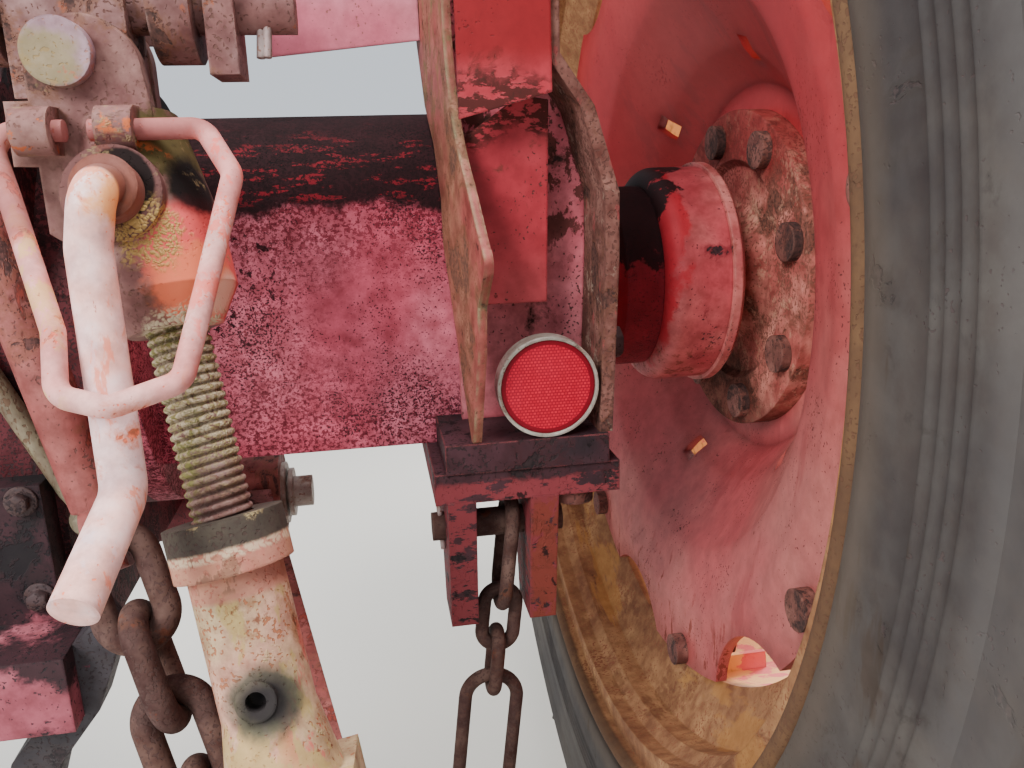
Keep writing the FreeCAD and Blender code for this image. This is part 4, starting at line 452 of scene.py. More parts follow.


# Rim: rolled steel whose paint has gone over to golden rust. The sun that comes through the
# scallops onto its far side is painted light: a pale cream pool with patches of old pink paint, painted as lit.
rim_rust = worked_iron(
    "rim_rust", seen(134, 92, 62), seen(160, 118, 80), seen(92, 60, 44), halo=seen(112, 70, 48),
    patch=12, flaking=0.3, speckle=0.7, mottle=0.7, rim=seen(176, 134, 90), rough=(0.7, 0.9), depth=0.0008,
    shine=0.2, layers=[
        # Painted sunlight on the rim's far side: pale cream.
        (seen(240, 206, 146), 0.9, 0.7, 0.1, [
            (ragged_band, {"Along": (1, 0, 0), "Level": 0.764, "Spread": 0.004, "Ragged": 0.01})]),
        # Patches of old pink paint inside the painted sunlight, painted as lit.
        (seen(222, 108, 132), 0.9, 0.7, 0.1, [
            (ragged_band, {"Along": (1, 0, 0), "Level": 0.768, "Spread": 0.004, "Ragged": 0.01}),
            (dry_strokes, {"Grain": (26, 26, 26), "Amount": 0.72})]),
        (seen(104, 70, 50), 0.45, 0.9, 0.1, [(dry_strokes, {"Grain": (26, 9, 9), "Amount": 0.5})]),
        (seen(190, 150, 92), 0.5, 0.85, 0.0, [(dry_strokes, {"Grain": (30, 5, 5), "Amount": 0.45})]),
        (seen(100, 84, 68), 0.9, 0.9, 0.1, [
            (ragged_band, {"Along": (-1, 0, 0), "Level": -0.697, "Spread": 0.002, "Ragged": 0.004})]),
    ])
dress(rim_rust, "wheel_rim")


# Tyre: black rubber greyed by dust and dried mud. A ring of rubber with fine moulded ribs
# closes each side wall against the rim's lip, and rides with the tyre.
tyre_side_ribs = (0.408, 0.4145, 0.421, 0.4275)


def moulded_rings(tree, where, color, height):
    """Fine rings round the wheel's axis, and a paler dusty ring beside them."""
    out = lay(tree, "VectorMath", {0: where, 1: (0, 1, 1)}, operation="MULTIPLY").outputs["Vector"]
    far = lay(tree, "VectorMath", {0: out}, operation="LENGTH").outputs["Value"]
    rings = lay(tree, "Math", {0: sums(tree, "MULTIPLY", far, 560)}, operation="SINE").outputs[0]
    band = sums(tree, "MULTIPLY", ramp(tree, far, 0.43, 0.44), ramp(tree, far, 0.47, 0.46))
    dust = ramp(tree, cloudy(tree, where, 14, 7, 0.65), 0.4, 0.7)
    wavering = sums(tree, "MULTIPLY_ADD", cloudy(tree, where, 5, 3), 0.02, far)
    mud = sums(tree, "MULTIPLY", ramp(tree, wavering, 0.405, 0.39), 0.5)
    color = blended(tree, mud, color, seen(92, 80, 68))
    color = blended(tree, sums(tree, "MULTIPLY", band, 0.3), color, seen(100, 97, 95))
    color = blended(tree, sums(tree, "MULTIPLY", dust, 0.3), color, seen(98, 88, 78))
    return color, sums(tree, "MULTIPLY_ADD", sums(tree, "MULTIPLY", band, rings), 0.25, height)


tyre_rubber = worked_iron(
    "tyre_rubber", seen(60, 56, 55), seen(76, 71, 67), seen(44, 41, 41), halo=seen(58, 53, 50),
    patch=9, flaking=0.3, speckle=0.35, mottle=0.3, rim_share=0.0, rim_radius=0.002, rough=(0.75, 0.9),
    depth=0.0005, shine=0.2, detail=moulded_rings, layers=[
        (seen(84, 70, 58), 0.6, 0.95, 0.1, [(dry_strokes, {"Grain": (20, 22, 5), "Amount": 0.45})]),
        (seen(112, 104, 96), 0.35, 0.95, 0.1, [(dry_strokes, {"Grain": (50, 160, 24), "Amount": 0.12})]),
    ])
dress(tyre_rubber, "tyre")


def empty_line(name):
    """A single point at the origin, in edit mode, to be drawn out into a section."""
    bpy.ops.object.select_all(action="DESELECT")
    bpy.ops.mesh.primitive_plane_add(size=0.01, location=(0, 0, 0))
    piece = bpy.context.object
    piece.name = name
    piece.data.name = name
    bpy.ops.object.mode_set(mode="EDIT")
    bpy.ops.mesh.select_mode(type="VERT")
    bpy.ops.mesh.select_all(action="SELECT")
    bpy.ops.mesh.merge(type="CENTER")
    return piece


def drawn(steps):
    """Draws the selected point out along steps, each a move from the last."""
    for step in steps:
        bpy.ops.mesh.extrude_region_move(TRANSFORM_OT_translate={"value": step})


def finish_piece(piece, finish, body, angle=0.6):
    """Leaves edit mode, points the faces outwards and gives the piece its finish and body."""
    bpy.ops.mesh.select_all(action="SELECT")
    bpy.ops.mesh.remove_doubles(threshold=0.00002)
    bpy.ops.mesh.normals_make_consistent(inside=False)
    bpy.ops.object.mode_set(mode="OBJECT")
    bpy.ops.object.shade_smooth_by_angle(angle=angle)
    piece.data.materials.clear()
    piece.data.materials.append(finish)
    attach(piece, body)


def side_ring(name, face, inwards):
    """One ring of rubber: a section drawn from the rim's lip out over the side wall, and spun."""
    section = [(face + 0.0142 * inwards, 0.3724), (face + 0.0030 * inwards, 0.3724),
               (face + 0.0012 * inwards, 0.3742), (face + 0.0006 * inwards, 0.3800),
               (face + 0.0004 * inwards, 0.4000)]
    for rib in tyre_side_ribs:
        section += [(face + 0.0010 * inwards, rib - 0.0012), (face, rib), (face + 0.0010 * inwards, rib + 0.0012)]
    section += [(face + 0.0006 * inwards, 0.4400), (face + 0.0040 * inwards, 0.4460),
                (face + 0.0120 * inwards, 0.4060)]
    piece = empty_line(name)
    here = (0.0, 0.0)
    moves = []
    for x, r in section:
        moves.append((x - here[0], 0, r - here[1]))
        here = (x, r)
    bpy.ops.transform.translate(value=moves[0])
    drawn(moves[1:])
    bpy.ops.mesh.select_all(action="SELECT")
    bpy.ops.mesh.edge_face_add()
    bpy.ops.mesh.delete(type="ONLY_FACE")
    bpy.ops.mesh.select_all(action="SELECT")
    bpy.ops.mesh.spin(steps=180, angle=math.tau, center=(0, 0, 0), axis=(1, 0, 0))
    finish_piece(piece, tyre_rubber, "wheel", 0.9)


side_ring("tyre_side_ring_inner", 0.6877, 1)
side_ring("tyre_side_ring_outer", 1.0033, -1)


# Fender post: a folded channel of worn red plate standing on the housing, with the skirt
# plates bolted behind it and a rusty reinforcing strip bent along its outer edge.
post_paint = worked_iron(
    "post_worn", seen(150, 76, 70), seen(150, 104, 82), seen(86, 60, 48), halo=seen(120, 80, 56),
    patch=12, flaking=0.5, speckle=0.6, mottle=0.8, rim=seen(166, 160, 122), rim_share=1.0, rim_radius=0.0035,
    depth=0.0008, layers=[
        (seen(140, 132, 98), 0.7, 0.9, 0.2, [
            (ragged_band, {"Along": (0, 0.1, 1), "Level": 0.09, "Spread": 0.03, "Ragged": 0.12, "Size": 25}),
            (dry_strokes, {"Grain": (120, 80, 40), "Amount": 0.6})]),
        (seen(66, 42, 36), 0.8, 0.9, 0.2, [(dry_strokes, {"Grain": (90, 90, 60), "Amount": 0.3})]),
    ])
dress(post_paint, "post_inner_plate")
skirt_paint = worked_iron(
    "skirt_red", seen(166, 48, 58), seen(176, 68, 74), seen(50, 32, 30), halo=seen(96, 50, 40),
    patch=9, flaking=0.28, speckle=0.35, mottle=0.4, rim=seen(80, 52, 42), rim_share=0.8, rough=(0.5, 0.8),
    depth=0.0005, layers=[
        (seen(136, 24, 32), 0.85, 0.75, 0.0, [
            (ragged_band, {"Along": (0, 0, 1), "Level": 0.137, "Spread": 0.008, "Ragged": 0.02})]),
        (seen(64, 46, 38), 0.9, 0.95, 0.5, [
            (ragged_band, {"Along": (0, 0, -1), "Level": -0.128, "Spread": 0.006, "Ragged": 0.06, "Size": 30}),
            (ragged_band, {"Along": (0, 0, 1), "Level": 0.1, "Spread": 0.006, "Ragged": 0.04, "Size": 40}),
            (dry_strokes, {"Grain": (70, 70, 160), "Amount": 0.85})]),
        (seen(66, 50, 42), 0.85, 0.95, 0.4, [
            (ragged_band, {"Along": (0, 0, 1), "Level": 0.235, "Spread": 0.02, "Ragged": 0.08, "Size": 30}),
            (dry_strokes, {"Grain": (70, 70, 70), "Amount": 0.6})]),
        (seen(84, 50, 42), 0.85, 0.9, 0.2, [(dry_strokes, {"Grain": (150, 150, 90), "Amount": 0.22})]),
    ])
dress(skirt_paint, "skirt_lower_plate", "skirt_upper_plate")
web_paint = worked_iron(
    "web_red", seen(198, 94, 106), seen(206, 120, 126), seen(52, 36, 34), halo=seen(92, 50, 44),
    patch=9, flaking=0.4, speckle=0.5, rim=seen(110, 70, 58), depth=0.0007, layers=[
        (seen(80, 60, 50), 0.9, 0.95, 0.5, [
            (ragged_band, {"Along": (0, 0, 1), "Level": 0.03, "Spread": 0.02, "Ragged": 0.08, "Size": 20}),
            (dry_strokes, {"Grain": (90, 90, 60), "Amount": 0.75})]),
    ])
dress(web_paint, "post_web")
strip_rust = worked_iron(
    "strip_rust", seen(112, 74, 66), seen(134, 94, 84), seen(62, 44, 40), halo=seen(100, 66, 52),
    patch=20, flaking=0.5, speckle=0.9, mottle=0.9, rim=seen(140, 100, 86), rough=(0.85, 0.95), depth=0.0012,
    shine=0.15, layers=[
        (seen(170, 96, 96), 0.7, 0.8, 0.1, [(dry_strokes, {"Grain": (90, 90, 40), "Amount": 0.42})]),
        (seen(176, 160, 146), 0.7, 0.95, 0.4, [(crusted, {"Size": 420, "Amount": 0.3})]),
    ])
dress(strip_rust, "post_outer_strip")
panel_paint = worked_iron(
    "fender_pink", seen(192, 98, 116), seen(208, 138, 148), seen(90, 60, 56), halo=seen(150, 70, 80),
    patch=8, flaking=0.25, speckle=0.3, mottle=0.35, rim=seen(140, 110, 96), rim_share=0.9, depth=0.0004)
dress(panel_paint, "fender_panel")


# Reflector: a round red plastic lens moulded inside in rows of small prisms, pressed into a
# steel cup whose bright plating has gone dull.
lens_middle = (0.629, -0.153, -0.0415)
prism_size = 0.0021
cup_zinc = worked_iron(
    "reflector_zinc", seen(190, 184, 172), seen(158, 150, 138), seen(96, 84, 74), halo=seen(140, 126, 112),
    patch=60, flaking=0.35, speckle=0.5, rim=seen(216, 212, 204), rough=(0.4, 0.7), metal=0.4, shine=0.5)
dress(cup_zinc, "reflector_cup")


def prisms(tree, where, color, height):
    """Rows of small blocks seen through the lens, and its plain darker border."""
    flat_on = lay(tree, "Mapping", {"Vector": where, "Rotation": (math.pi / 2, 0, 0)}).outputs["Vector"]
    bricks = lay(tree, "TexBrick", {
        "Vector": flat_on, "Color1": seen(214, 26, 58), "Color2": seen(186, 14, 44), "Mortar": seen(132, 8, 30),
        "Scale": 1.0, "Mortar Size": prism_size * 0.16, "Mortar Smooth": 0.3, "Brick Width": prism_size,
        "Row Height": prism_size * 0.86})
    far = lay(tree, "VectorMath", {0: where, 1: lens_middle}, operation="DISTANCE").outputs["Value"]
    border = ramp(tree, far, 0.0252, 0.0258)
    color = blended(tree, 0.85, color, bricks.outputs["Color"])
    return blended(tree, border, color, seen(120, 6, 26)), sums(
        tree, "MULTIPLY_ADD", bricks.outputs["Fac"], -0.6, height)


lens_red = worked_iron(
    "reflector_red", seen(204, 24, 54), seen(214, 50, 78), seen(160, 20, 40), halo=seen(190, 24, 50),
    patch=24, flaking=0.05, speckle=0.25, mottle=0.2, rim_share=0.0, rough=(0.5, 0.6), coat_weight=0.0, shine=0.2,
    bump=0.4, depth=0.0004, detail=prisms)
dress(lens_red, "reflector_lens")


# Greasy black with the red worn through on the plate's edges.
bracket_paint = worked_iron(
    "bracket_black", seen(42, 32, 37), seen(66, 38, 44), seen(30, 24, 26), halo=seen(60, 30, 34),
    patch=16, flaking=0.5, speckle=0.7, rim=seen(176, 84, 84), rim_share=0.9, rim_radius=0.0016,
    depth=0.0012, shine=0.25, layers=[
        (seen(158, 78, 84), 0.9, 0.75, -0.3, [
            (ragged_band, {"Along": (0, 0, -1), "Level": 0.0965, "Spread": 0.002, "Ragged": 0.012, "Size": 60}),
            (dry_strokes, {"Grain": (60, 60, 140), "Amount": 0.95})]),
        (seen(150, 80, 64), 0.85, 0.85, 0.0, [
            (ragged_band, {"Along": (1, 0, 0), "Level": 0.618, "Spread": 0.002, "Ragged": 0.012, "Size": 60}),
            (ragged_band, {"Along": (0, 0, -1), "Level": 0.112, "Spread": 0.003, "Ragged": 0.02}),
            (dry_strokes, {"Grain": (70, 70, 50), "Amount": 0.95})]),
        (oily_black, 0.9, 0.8, 0.3, [(dry_strokes, {"Grain": (70, 70, 50), "Amount": 0.35})]),
    ])
dress(bracket_paint, "bracket_base", "bracket_clamp")
chain_rust = worked_iron(
    "chain_rust", seen(78, 56, 52), seen(96, 72, 64), seen(52, 42, 40), halo=seen(100, 66, 52),
    patch=35, flaking=0.3, speckle=0.8, mottle=0.9, rim=seen(138, 108, 96), rough=(0.8, 0.95), depth=0.0009,
    shine=0.15, layers=[(seen(138, 84, 58), 0.5, 0.9, 0.1, [(dry_strokes, {"Grain": (60, 60, 60), "Amount": 0.35})])])
dress(chain_rust, "check_chain", "hitch_chain", "chain_pin")


# Lift arm, its cross shaft and pin: forged steel, painted brown red and well worn.
arm_paint = worked_iron(
    "arm_brown_red", seen(120, 78, 74), seen(142, 108, 104), seen(66, 48, 44), halo=seen(116, 74, 52),
    patch=18, flaking=0.5, speckle=0.6, mottle=0.8, rim=seen(196, 158, 148), rim_share=0.7, depth=0.001,
    layers=[
        (seen(176, 112, 82), 0.75, 0.9, 0.1, [(dry_strokes, {"Grain": (60, 60, 60), "Amount": 0.4})]),
        (seen(60, 44, 40), 0.8, 0.9, 0.2, [(dry_strokes, {"Grain": (80, 60, 80), "Amount": 0.3})]),
    ])
dress(arm_paint, "lift_arm", "lift_arm_pin", "lift_pin_strap", "rod_knuckle", "lift_cross_shaft")
swivel_paint = worked_iron(
    "swivel_mauve", seen(150, 118, 126), seen(168, 138, 146), seen(110, 84, 78), halo=seen(170, 120, 96),
    patch=30, flaking=0.35, speckle=0.5, mottle=0.6, rim=seen(190, 166, 164), depth=0.0006, layers=[
        (seen(150, 150, 96), 0.7, 0.9, 0.1, [
            (ragged_spot, {"Place": (0.404, -0.221, 0.132), "Radius": 0.012, "Ragged": 0.03})]),
        (seen(190, 122, 92), 0.6, 0.85, 0.1, [(dry_strokes, {"Grain": (70, 70, 70), "Amount": 0.3})]),
    ])
dress(swivel_paint, "rod_swivel_pin")


# Levelling box, crank and bail: the casting that turns the lift rod's screw, with moss and
# lichen on it, and a cranked handle of bent bar held by a wire bail.
lichen_yellow = seen(206, 182, 122)
lichen_white = seen(226, 218, 190)
box_paint = worked_iron(
    "box_mauve", seen(128, 88, 84), seen(146, 110, 102), seen(74, 56, 52), halo=seen(120, 80, 60),
    patch=26, flaking=0.4, speckle=0.5, mottle=0.7, rim=seen(196, 150, 134), rim_share=0.7, depth=0.0008,
    shine=0.2, layers=[
        (seen(104, 104, 62), 0.9, 0.95, 0.3, [
            (ragged_spot, {"Place": (0.452, -0.212, 0.094), "Radius": 0.02, "Ragged": 0.05})]),
        (seen(88, 84, 60), 0.8, 0.95, 0.2, [
            (ragged_spot, {"Place": (0.43, -0.236, 0.07), "Radius": 0.04, "Ragged": 0.03}),
            (dry_strokes, {"Grain": (50, 50, 50), "Amount": 0.6})]),
        (seen(236, 112, 112), 0.97, 0.65, 0.1, [
            (ragged_spot, {"Place": (0.464, -0.226, 0.044), "Radius": 0.03, "Ragged": 0.025})]),
        (seen(240, 150, 112), 0.9, 0.8, 0.1, [
            (ragged_spot, {"Place": (0.455, -0.237, 0.036), "Radius": 0.018, "Ragged": 0.03})]),
        # A small pale spot on the pink nose: a painted highlight.
        (seen(246, 206, 190), 0.8, 0.7, 0.1, [
            (ragged_spot, {"Place": (0.466, -0.226, 0.03), "Radius": 0.008, "Ragged": 0.02})]),
        # A black round patch where a gap shows: painted shade.
        (seen(22, 20, 24), 0.97, 0.85, 0.1, [
            (ragged_spot, {"Place": (0.4575, -0.2165, 0.079), "Radius": 0.0145, "Ragged": 0.015})]),
        (seen(204, 122, 76), 0.85, 0.85, 0.1, [
            (ragged_band, {"Along": (0, -1, -0.5), "Level": 0.172, "Spread": 0.002, "Ragged": 0.01}),
            (ragged_band, {"Along": (0, 0, 1), "Level": 0.092, "Spread": 0.002, "Ragged": 0.006}),
            (dry_strokes, {"Grain": (90, 90, 90), "Amount": 0.6})]),
        (seen(112, 82, 80), 0.9, 0.85, 0.1, [
            (ragged_spot, {"Place": (0.4285, -0.243, 0.081), "Radius": 0.0235, "Spread": 0.0008, "Ragged": 0.003})]),
        (seen(24, 20, 20), 0.95, 0.9, 0.0, [
            (ragged_spot, {"Place": (0.43, -0.242, 0.082), "Radius": 0.0165, "Spread": 0.0008, "Ragged": 0.004})]),
        (lichen_yellow, 0.95, 0.95, 1.2, [
            (ragged_spot, {"Place": (0.442, -0.2415, 0.06), "Radius": 0.0135, "Ragged": 0.02, "Size": 90}),
            (crusted, {"Size": 620, "Amount": 1.0})]),
        (lichen_white, 0.95, 0.95, 1.1, [
            (ragged_spot, {"Place": (0.45, -0.23, 0.01), "Radius": 0.02, "Ragged": 0.03, "Size": 70}),
            (crusted, {"Size": 560, "Amount": 0.9})]),
        (seen(170, 156, 120), 0.6, 0.95, 0.6, [(crusted, {"Size": 700, "Amount": 0.3})]),
    ])
dress(box_paint, "levelling_box")
crank_paint = worked_iron(
    "crank_chalk", seen(244, 184, 170), seen(246, 208, 206), seen(176, 96, 70), halo=seen(228, 132, 100),
    patch=30, flaking=0.3, speckle=0.3, mottle=0.5, rim=seen(226, 124, 92), rim_share=0.4, rim_radius=0.004,
    depth=0.0006, rough=(0.45, 0.75), layers=[
        (seen(232, 138, 112), 0.8, 0.7, 0.0, [(dry_strokes, {"Grain": (70, 70, 18), "Amount": 0.52})]),
        # Pale grey-blue streaks: a painted sheen.
        (seen(222, 204, 212), 0.5, 0.5, 0.0, [(dry_strokes, {"Grain": (60, 60, 16), "Amount": 0.45})]),
        (seen(244, 158, 84), 0.9, 0.8, 0.1, [
            (ragged_spot, {"Place": (0.438, -0.262, 0.074), "Radius": 0.014, "Ragged": 0.03})]),
        (seen(104, 70, 60), 0.95, 0.9, 0.1, [
            (ragged_band, {"Along": (0, 1, 0), "Level": -0.2555, "Spread": 0.0015, "Ragged": 0.004})]),
        (seen(158, 80, 60), 0.85, 0.85, 0.1, [(dry_strokes, {"Grain": (130, 130, 60), "Amount": 0.15})]),
    ])
dress(crank_paint, "levelling_crank")
bail_paint = worked_iron(
    "bail_pink", seen(214, 138, 132), seen(228, 172, 164), seen(160, 84, 66), halo=seen(214, 130, 108),
    patch=26, flaking=0.4, speckle=0.4, mottle=0.5, rim=seen(220, 140, 120), rim_share=0.3, depth=0.0006,
    layers=[
        (seen(226, 124, 112), 0.85, 0.7, 0.0, [
            (ragged_band, {"Along": (1, 0, 0), "Level": 0.462, "Spread": 0.006, "Ragged": 0.04}),
            (dry_strokes, {"Grain": (60, 60, 40), "Amount": 0.8})]),
        (seen(206, 180, 128), 0.8, 0.85, 0.2, [
            (ragged_band, {"Along": (-1, 0, 0), "Level": -0.412, "Spread": 0.006, "Ragged": 0.03}),
            (dry_strokes, {"Grain": (70, 70, 40), "Amount": 0.6})]),
        (seen(146, 102, 100), 0.85, 0.8, 0.1, [
            (ragged_band, {"Along": (-0.6, 0, 1), "Level": -0.176, "Spread": 0.006, "Ragged": 0.03})]),
        (seen(140, 78, 60), 0.85, 0.85, 0.1, [(dry_strokes, {"Grain": (110, 110, 70), "Amount": 0.18})]),
    ])
dress(bail_paint, "crank_bail")


# Lift rod: a steel screw with a coarse thread, caked above with lichen and below with old
# rust, in a forged lower tube with a collar. The thread is cut along the whole screw.
screw_middle = Vector((0.44923, -0.23019, -0.02223))
screw_line = Vector((-0.16467, 0.27088, 0.94842)).normalized()
screw_reach = 0.079
screw_radius = 0.0140
thread_pitch = 0.0044
thread_depth = 0.0014


def thread_shadow(tree, where, color, height):
    """Painted shade: darker colour in the bottom of the thread."""
    aside = lay(tree, "VectorMath", {0: where, 1: screw_middle}, operation="SUBTRACT").outputs["Vector"]
    away = lay(tree, "VectorMath", {0: aside, 1: screw_line}, operation="CROSS_PRODUCT").outputs["Vector"]
    deep = lay(tree, "VectorMath", {0: away}, operation="LENGTH").outputs["Value"]
    root_shade = ramp(tree, deep, screw_radius - thread_depth * 0.35, screw_radius - thread_depth * 0.9)
    return blended(tree, sums(tree, "MULTIPLY", root_shade, 0.55), color, seen(74, 54, 52)), height


screw_finish = worked_iron(
    "screw_lichen", seen(132, 100, 96), seen(150, 120, 112), seen(86, 64, 62), halo=seen(120, 84, 74),
    patch=40, flaking=0.5, speckle=0.7, mottle=0.8, rim=seen(150, 124, 104), depth=0.0012, shine=0.2,
    detail=thread_shadow, layers=[
        (seen(196, 188, 140), 0.9, 0.95, 1.2, [
            (ragged_band, {"Along": tuple(screw_line), "Level": -0.186, "Spread": 0.014, "Ragged": 0.05, "Size": 60}),
            (crusted, {"Size": 620, "Amount": 1.0})]),
        (seen(226, 214, 188), 0.9, 0.95, 1.0, [
            (ragged_band, {"Along": tuple(screw_line), "Level": -0.174, "Spread": 0.01, "Ragged": 0.04, "Size": 60}),
            (crusted, {"Size": 380, "Amount": 0.75})]),
        (seen(150, 156, 92), 0.8, 0.95, 0.6, [
            (ragged_band, {"Along": (-1, 0, 0), "Level": -0.452, "Spread": 0.003, "Ragged": 0.02}),
            (crusted, {"Size": 300, "Amount": 0.6})]),
        (oily_black, 0.9, 0.7, 0.2, [
            (ragged_band, {"Along": tuple(-screw_line), "Level": 0.206, "Spread": 0.001, "Ragged": 0.006})]),
    ])
screw = empty_line("lift_screw_thread")
bpy.ops.transform.translate(value=(screw_radius - thread_depth, 0, 0))
drawn([(thread_depth, 0, thread_pitch * 0.3), (0, 0, thread_pitch * 0.25),
       (-thread_depth, 0, thread_pitch * 0.3), (0, 0, thread_pitch * 0.15)])
bpy.ops.object.mode_set(mode="OBJECT")
turns = int(screw_reach * 2 / thread_pitch) - 1
winding = screw.modifiers.new("thread", "SCREW")
winding.axis = "Z"
winding.screw_offset = thread_pitch
winding.iterations = turns
winding.steps = 28
winding.render_steps = 28
winding.use_merge_vertices = True
bpy.ops.object.modifier_apply(modifier=winding.name)
screw.matrix_world = Matrix.Translation(
    screw_middle - screw_line * (turns + 1) * thread_pitch / 2) @ screw_line.to_track_quat("Z", "Y").to_matrix().to_4x4()
bpy.ops.object.transform_apply(location=True, rotation=True, scale=True)
bpy.ops.object.mode_set(mode="EDIT")
bpy.ops.mesh.select_all(action="SELECT")
bpy.ops.mesh.remove_doubles(threshold=0.00002)
bpy.ops.mesh.fill_holes(sides=0)
finish_piece(screw, screw_finish, "levelling_rod", 0.5)
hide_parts("lift_screw")

tube_paint = worked_iron(
    "tube_olive", seen(194, 148, 126), seen(184, 158, 122), seen(112, 74, 52), halo=seen(150, 104, 70),
    patch=20, flaking=0.42, speckle=0.6, mottle=0.7, rim=seen(206, 184, 146), rim_share=0.7, depth=0.0011,
    shine=0.2, layers=[
        (seen(180, 164, 118), 0.85, 0.9, 0.1, [(dry_strokes, {"Grain": (36, 36, 14), "Amount": 0.66})]),
        (seen(204, 112, 110), 0.75, 0.8, 0.1, [
            (ragged_band, {"Along": (1, 0, 0.2), "Level": 0.45, "Spread": 0.01, "Ragged": 0.04}),
            (dry_strokes, {"Grain": (50, 50, 14), "Amount": 0.6})]),
        (seen(122, 78, 62), 0.85, 0.9, 0.2, [(dry_strokes, {"Grain": (70, 70, 44), "Amount": 0.34})]),
        (seen(188, 136, 126), 0.85, 0.9, 0.2, [
            (ragged_band, {"Along": tuple(screw_line), "Level": -0.2415, "Spread": 0.0015, "Ragged": 0.003})]),
        (seen(104, 88, 80), 0.55, 0.9, 0.3, [
            (ragged_band, {"Along": tuple(screw_line), "Level": -0.238, "Spread": 0.0015, "Ragged": 0.003}),
            (dry_strokes, {"Grain": (90, 90, 40), "Amount": 0.62})]),
        (seen(214, 198, 176), 0.8, 0.9, 0.3, [
            (ragged_band, {"Along": tuple(screw_line), "Level": -0.2225, "Spread": 0.001, "Ragged": 0.003, "Size": 90}),
            (crusted, {"Size": 500, "Amount": 0.9})]),
        (seen(66, 66, 66), 0.97, 0.9, 0.3, [
            (ragged_band, {"Along": tuple(screw_line), "Level": -0.2185, "Spread": 0.001, "Ragged": 0.003, "Size": 90})]),
        (seen(70, 84, 78), 0.9, 0.85, 0.2, [
            (ragged_spot, {"Place": (0.4745, -0.2845, -0.141), "Radius": 0.017, "Ragged": 0.015})]),
        (seen(40, 42, 48), 0.95, 0.8, 0.1, [
            (ragged_spot, {"Place": (0.4745, -0.2845, -0.141), "Radius": 0.011, "Ragged": 0.008})]),
        (seen(190, 176, 140), 0.7, 0.95, 0.8, [(crusted, {"Size": 640, "Amount": 0.3})]),
    ])
dress(tube_paint, "lift_tube")


# Linkage below: the lower link with its ball ends, the pull rod and its pin.
link_paint = worked_iron(
    "link_red", seen(140, 70, 66), seen(156, 92, 86), seen(70, 48, 46), halo=seen(128, 74, 58),
    patch=14, flaking=0.5, speckle=0.6, mottle=0.7, rim=seen(184, 126, 112), depth=0.0009, layers=[
        (seen(70, 52, 48), 0.85, 0.9, 0.2, [(dry_strokes, {"Grain": (60, 60, 20), "Amount": 0.5})]),
        (seen(178, 96, 84), 0.7, 0.8, 0.0, [(dry_strokes, {"Grain": (60, 60, 20), "Amount": 0.42})]),
    ])
dress(link_paint, "lower_link", "hitch_pull_rod")
pin_steel = worked_iron(
    "pin_steel", seen(140, 124, 116), seen(164, 150, 140), seen(92, 70, 62), halo=seen(120, 92, 76),
    patch=40, flaking=0.5, speckle=0.5, rim=seen(186, 172, 160), rough=(0.5, 0.75), metal=0.3)
dress(pin_steel, "link_front_pin", "link_front_ball", "link_rear_ball", "drop_pin", "power_shaft")


# Drawbar frame: flat bars and a hanger bolted under the centre housing, greasy black where
# the red has gone from them.
frame_paint = worked_iron(
    "frame_red", seen(150, 74, 86), seen(176, 100, 110), seen(38, 30, 34), halo=seen(90, 40, 48),
    patch=12, flaking=0.55, speckle=0.6, rim=seen(178, 104, 106), depth=0.0009, layers=[
        (seen(42, 36, 40), 0.95, 0.7, 0.4, [
            (ragged_band, {"Along": (0, 0, 1), "Level": -0.155, "Spread": 0.006, "Ragged": 0.1, "Size": 18})]),
        (seen(50, 44, 46), 0.9, 0.75, 0.3, [(dry_strokes, {"Grain": (30, 30, 30), "Amount": 0.6})]),
    ])
dress(frame_paint, "drawbar_hanger", "drawbar_cross_bar")
hook_black = worked_iron(
    "hook_black", seen(46, 42, 46), seen(64, 58, 62), seen(34, 30, 32), halo=seen(54, 46, 46),
    patch=14, flaking=0.5, speckle=0.6, rim=seen(120, 108, 104), depth=0.0009, shine=0.35, layers=[
        (seen(150, 60, 84), 0.8, 0.8, 0.0, [(dry_strokes, {"Grain": (40, 40, 40), "Amount": 0.25})]),
    ])
dress(hook_black, "drawbar_hook_arm")



# Small bolts that hold the frame and the post: hexagon heads on thick washers, black with
# grease. Each is a six-sided bar with its corners taken off, set on its washer.
def bolt_head(place, facing, radius, height):
    """One hexagon head and its washer, its underside at place, looking along facing."""
    turned = Vector(facing).to_track_quat("Z", "Y").to_matrix().to_4x4()
    heads = []
    for sides, width, low, high, chamfer in ((28, radius * 1.45, 0, height * 0.22, 0.0004),
                                             (6, radius, height * 0.22, height, radius * 0.14)):
        bpy.ops.object.select_all(action="DESELECT")
        bpy.ops.mesh.primitive_cylinder_add(vertices=sides, radius=width, depth=high - low)
        head = bpy.context.object
        bpy.ops.object.mode_set(mode="EDIT")
        bpy.ops.mesh.select_all(action="SELECT")
        bpy.ops.mesh.bevel(offset=chamfer, segments=2, affect="EDGES")
        bpy.ops.object.mode_set(mode="OBJECT")
        head.matrix_world = Matrix.Translation(place) @ turned @ Matrix.Translation((0, 0, (low + high) / 2))
        bpy.ops.object.transform_apply(location=True, rotation=True, scale=True)
        heads.append(head)
    return heads


def join_as(name, parts):
    """Makes one mesh of several parts and opens it for finishing."""
    bpy.ops.object.select_all(action="DESELECT")
    for part in parts:
        part.select_set(True)
    bpy.context.view_layer.objects.active = parts[0]
    bpy.ops.object.join()
    piece = bpy.context.object
    piece.name = name
    piece.data.name = name
    bpy.ops.object.mode_set(mode="EDIT")
    return piece


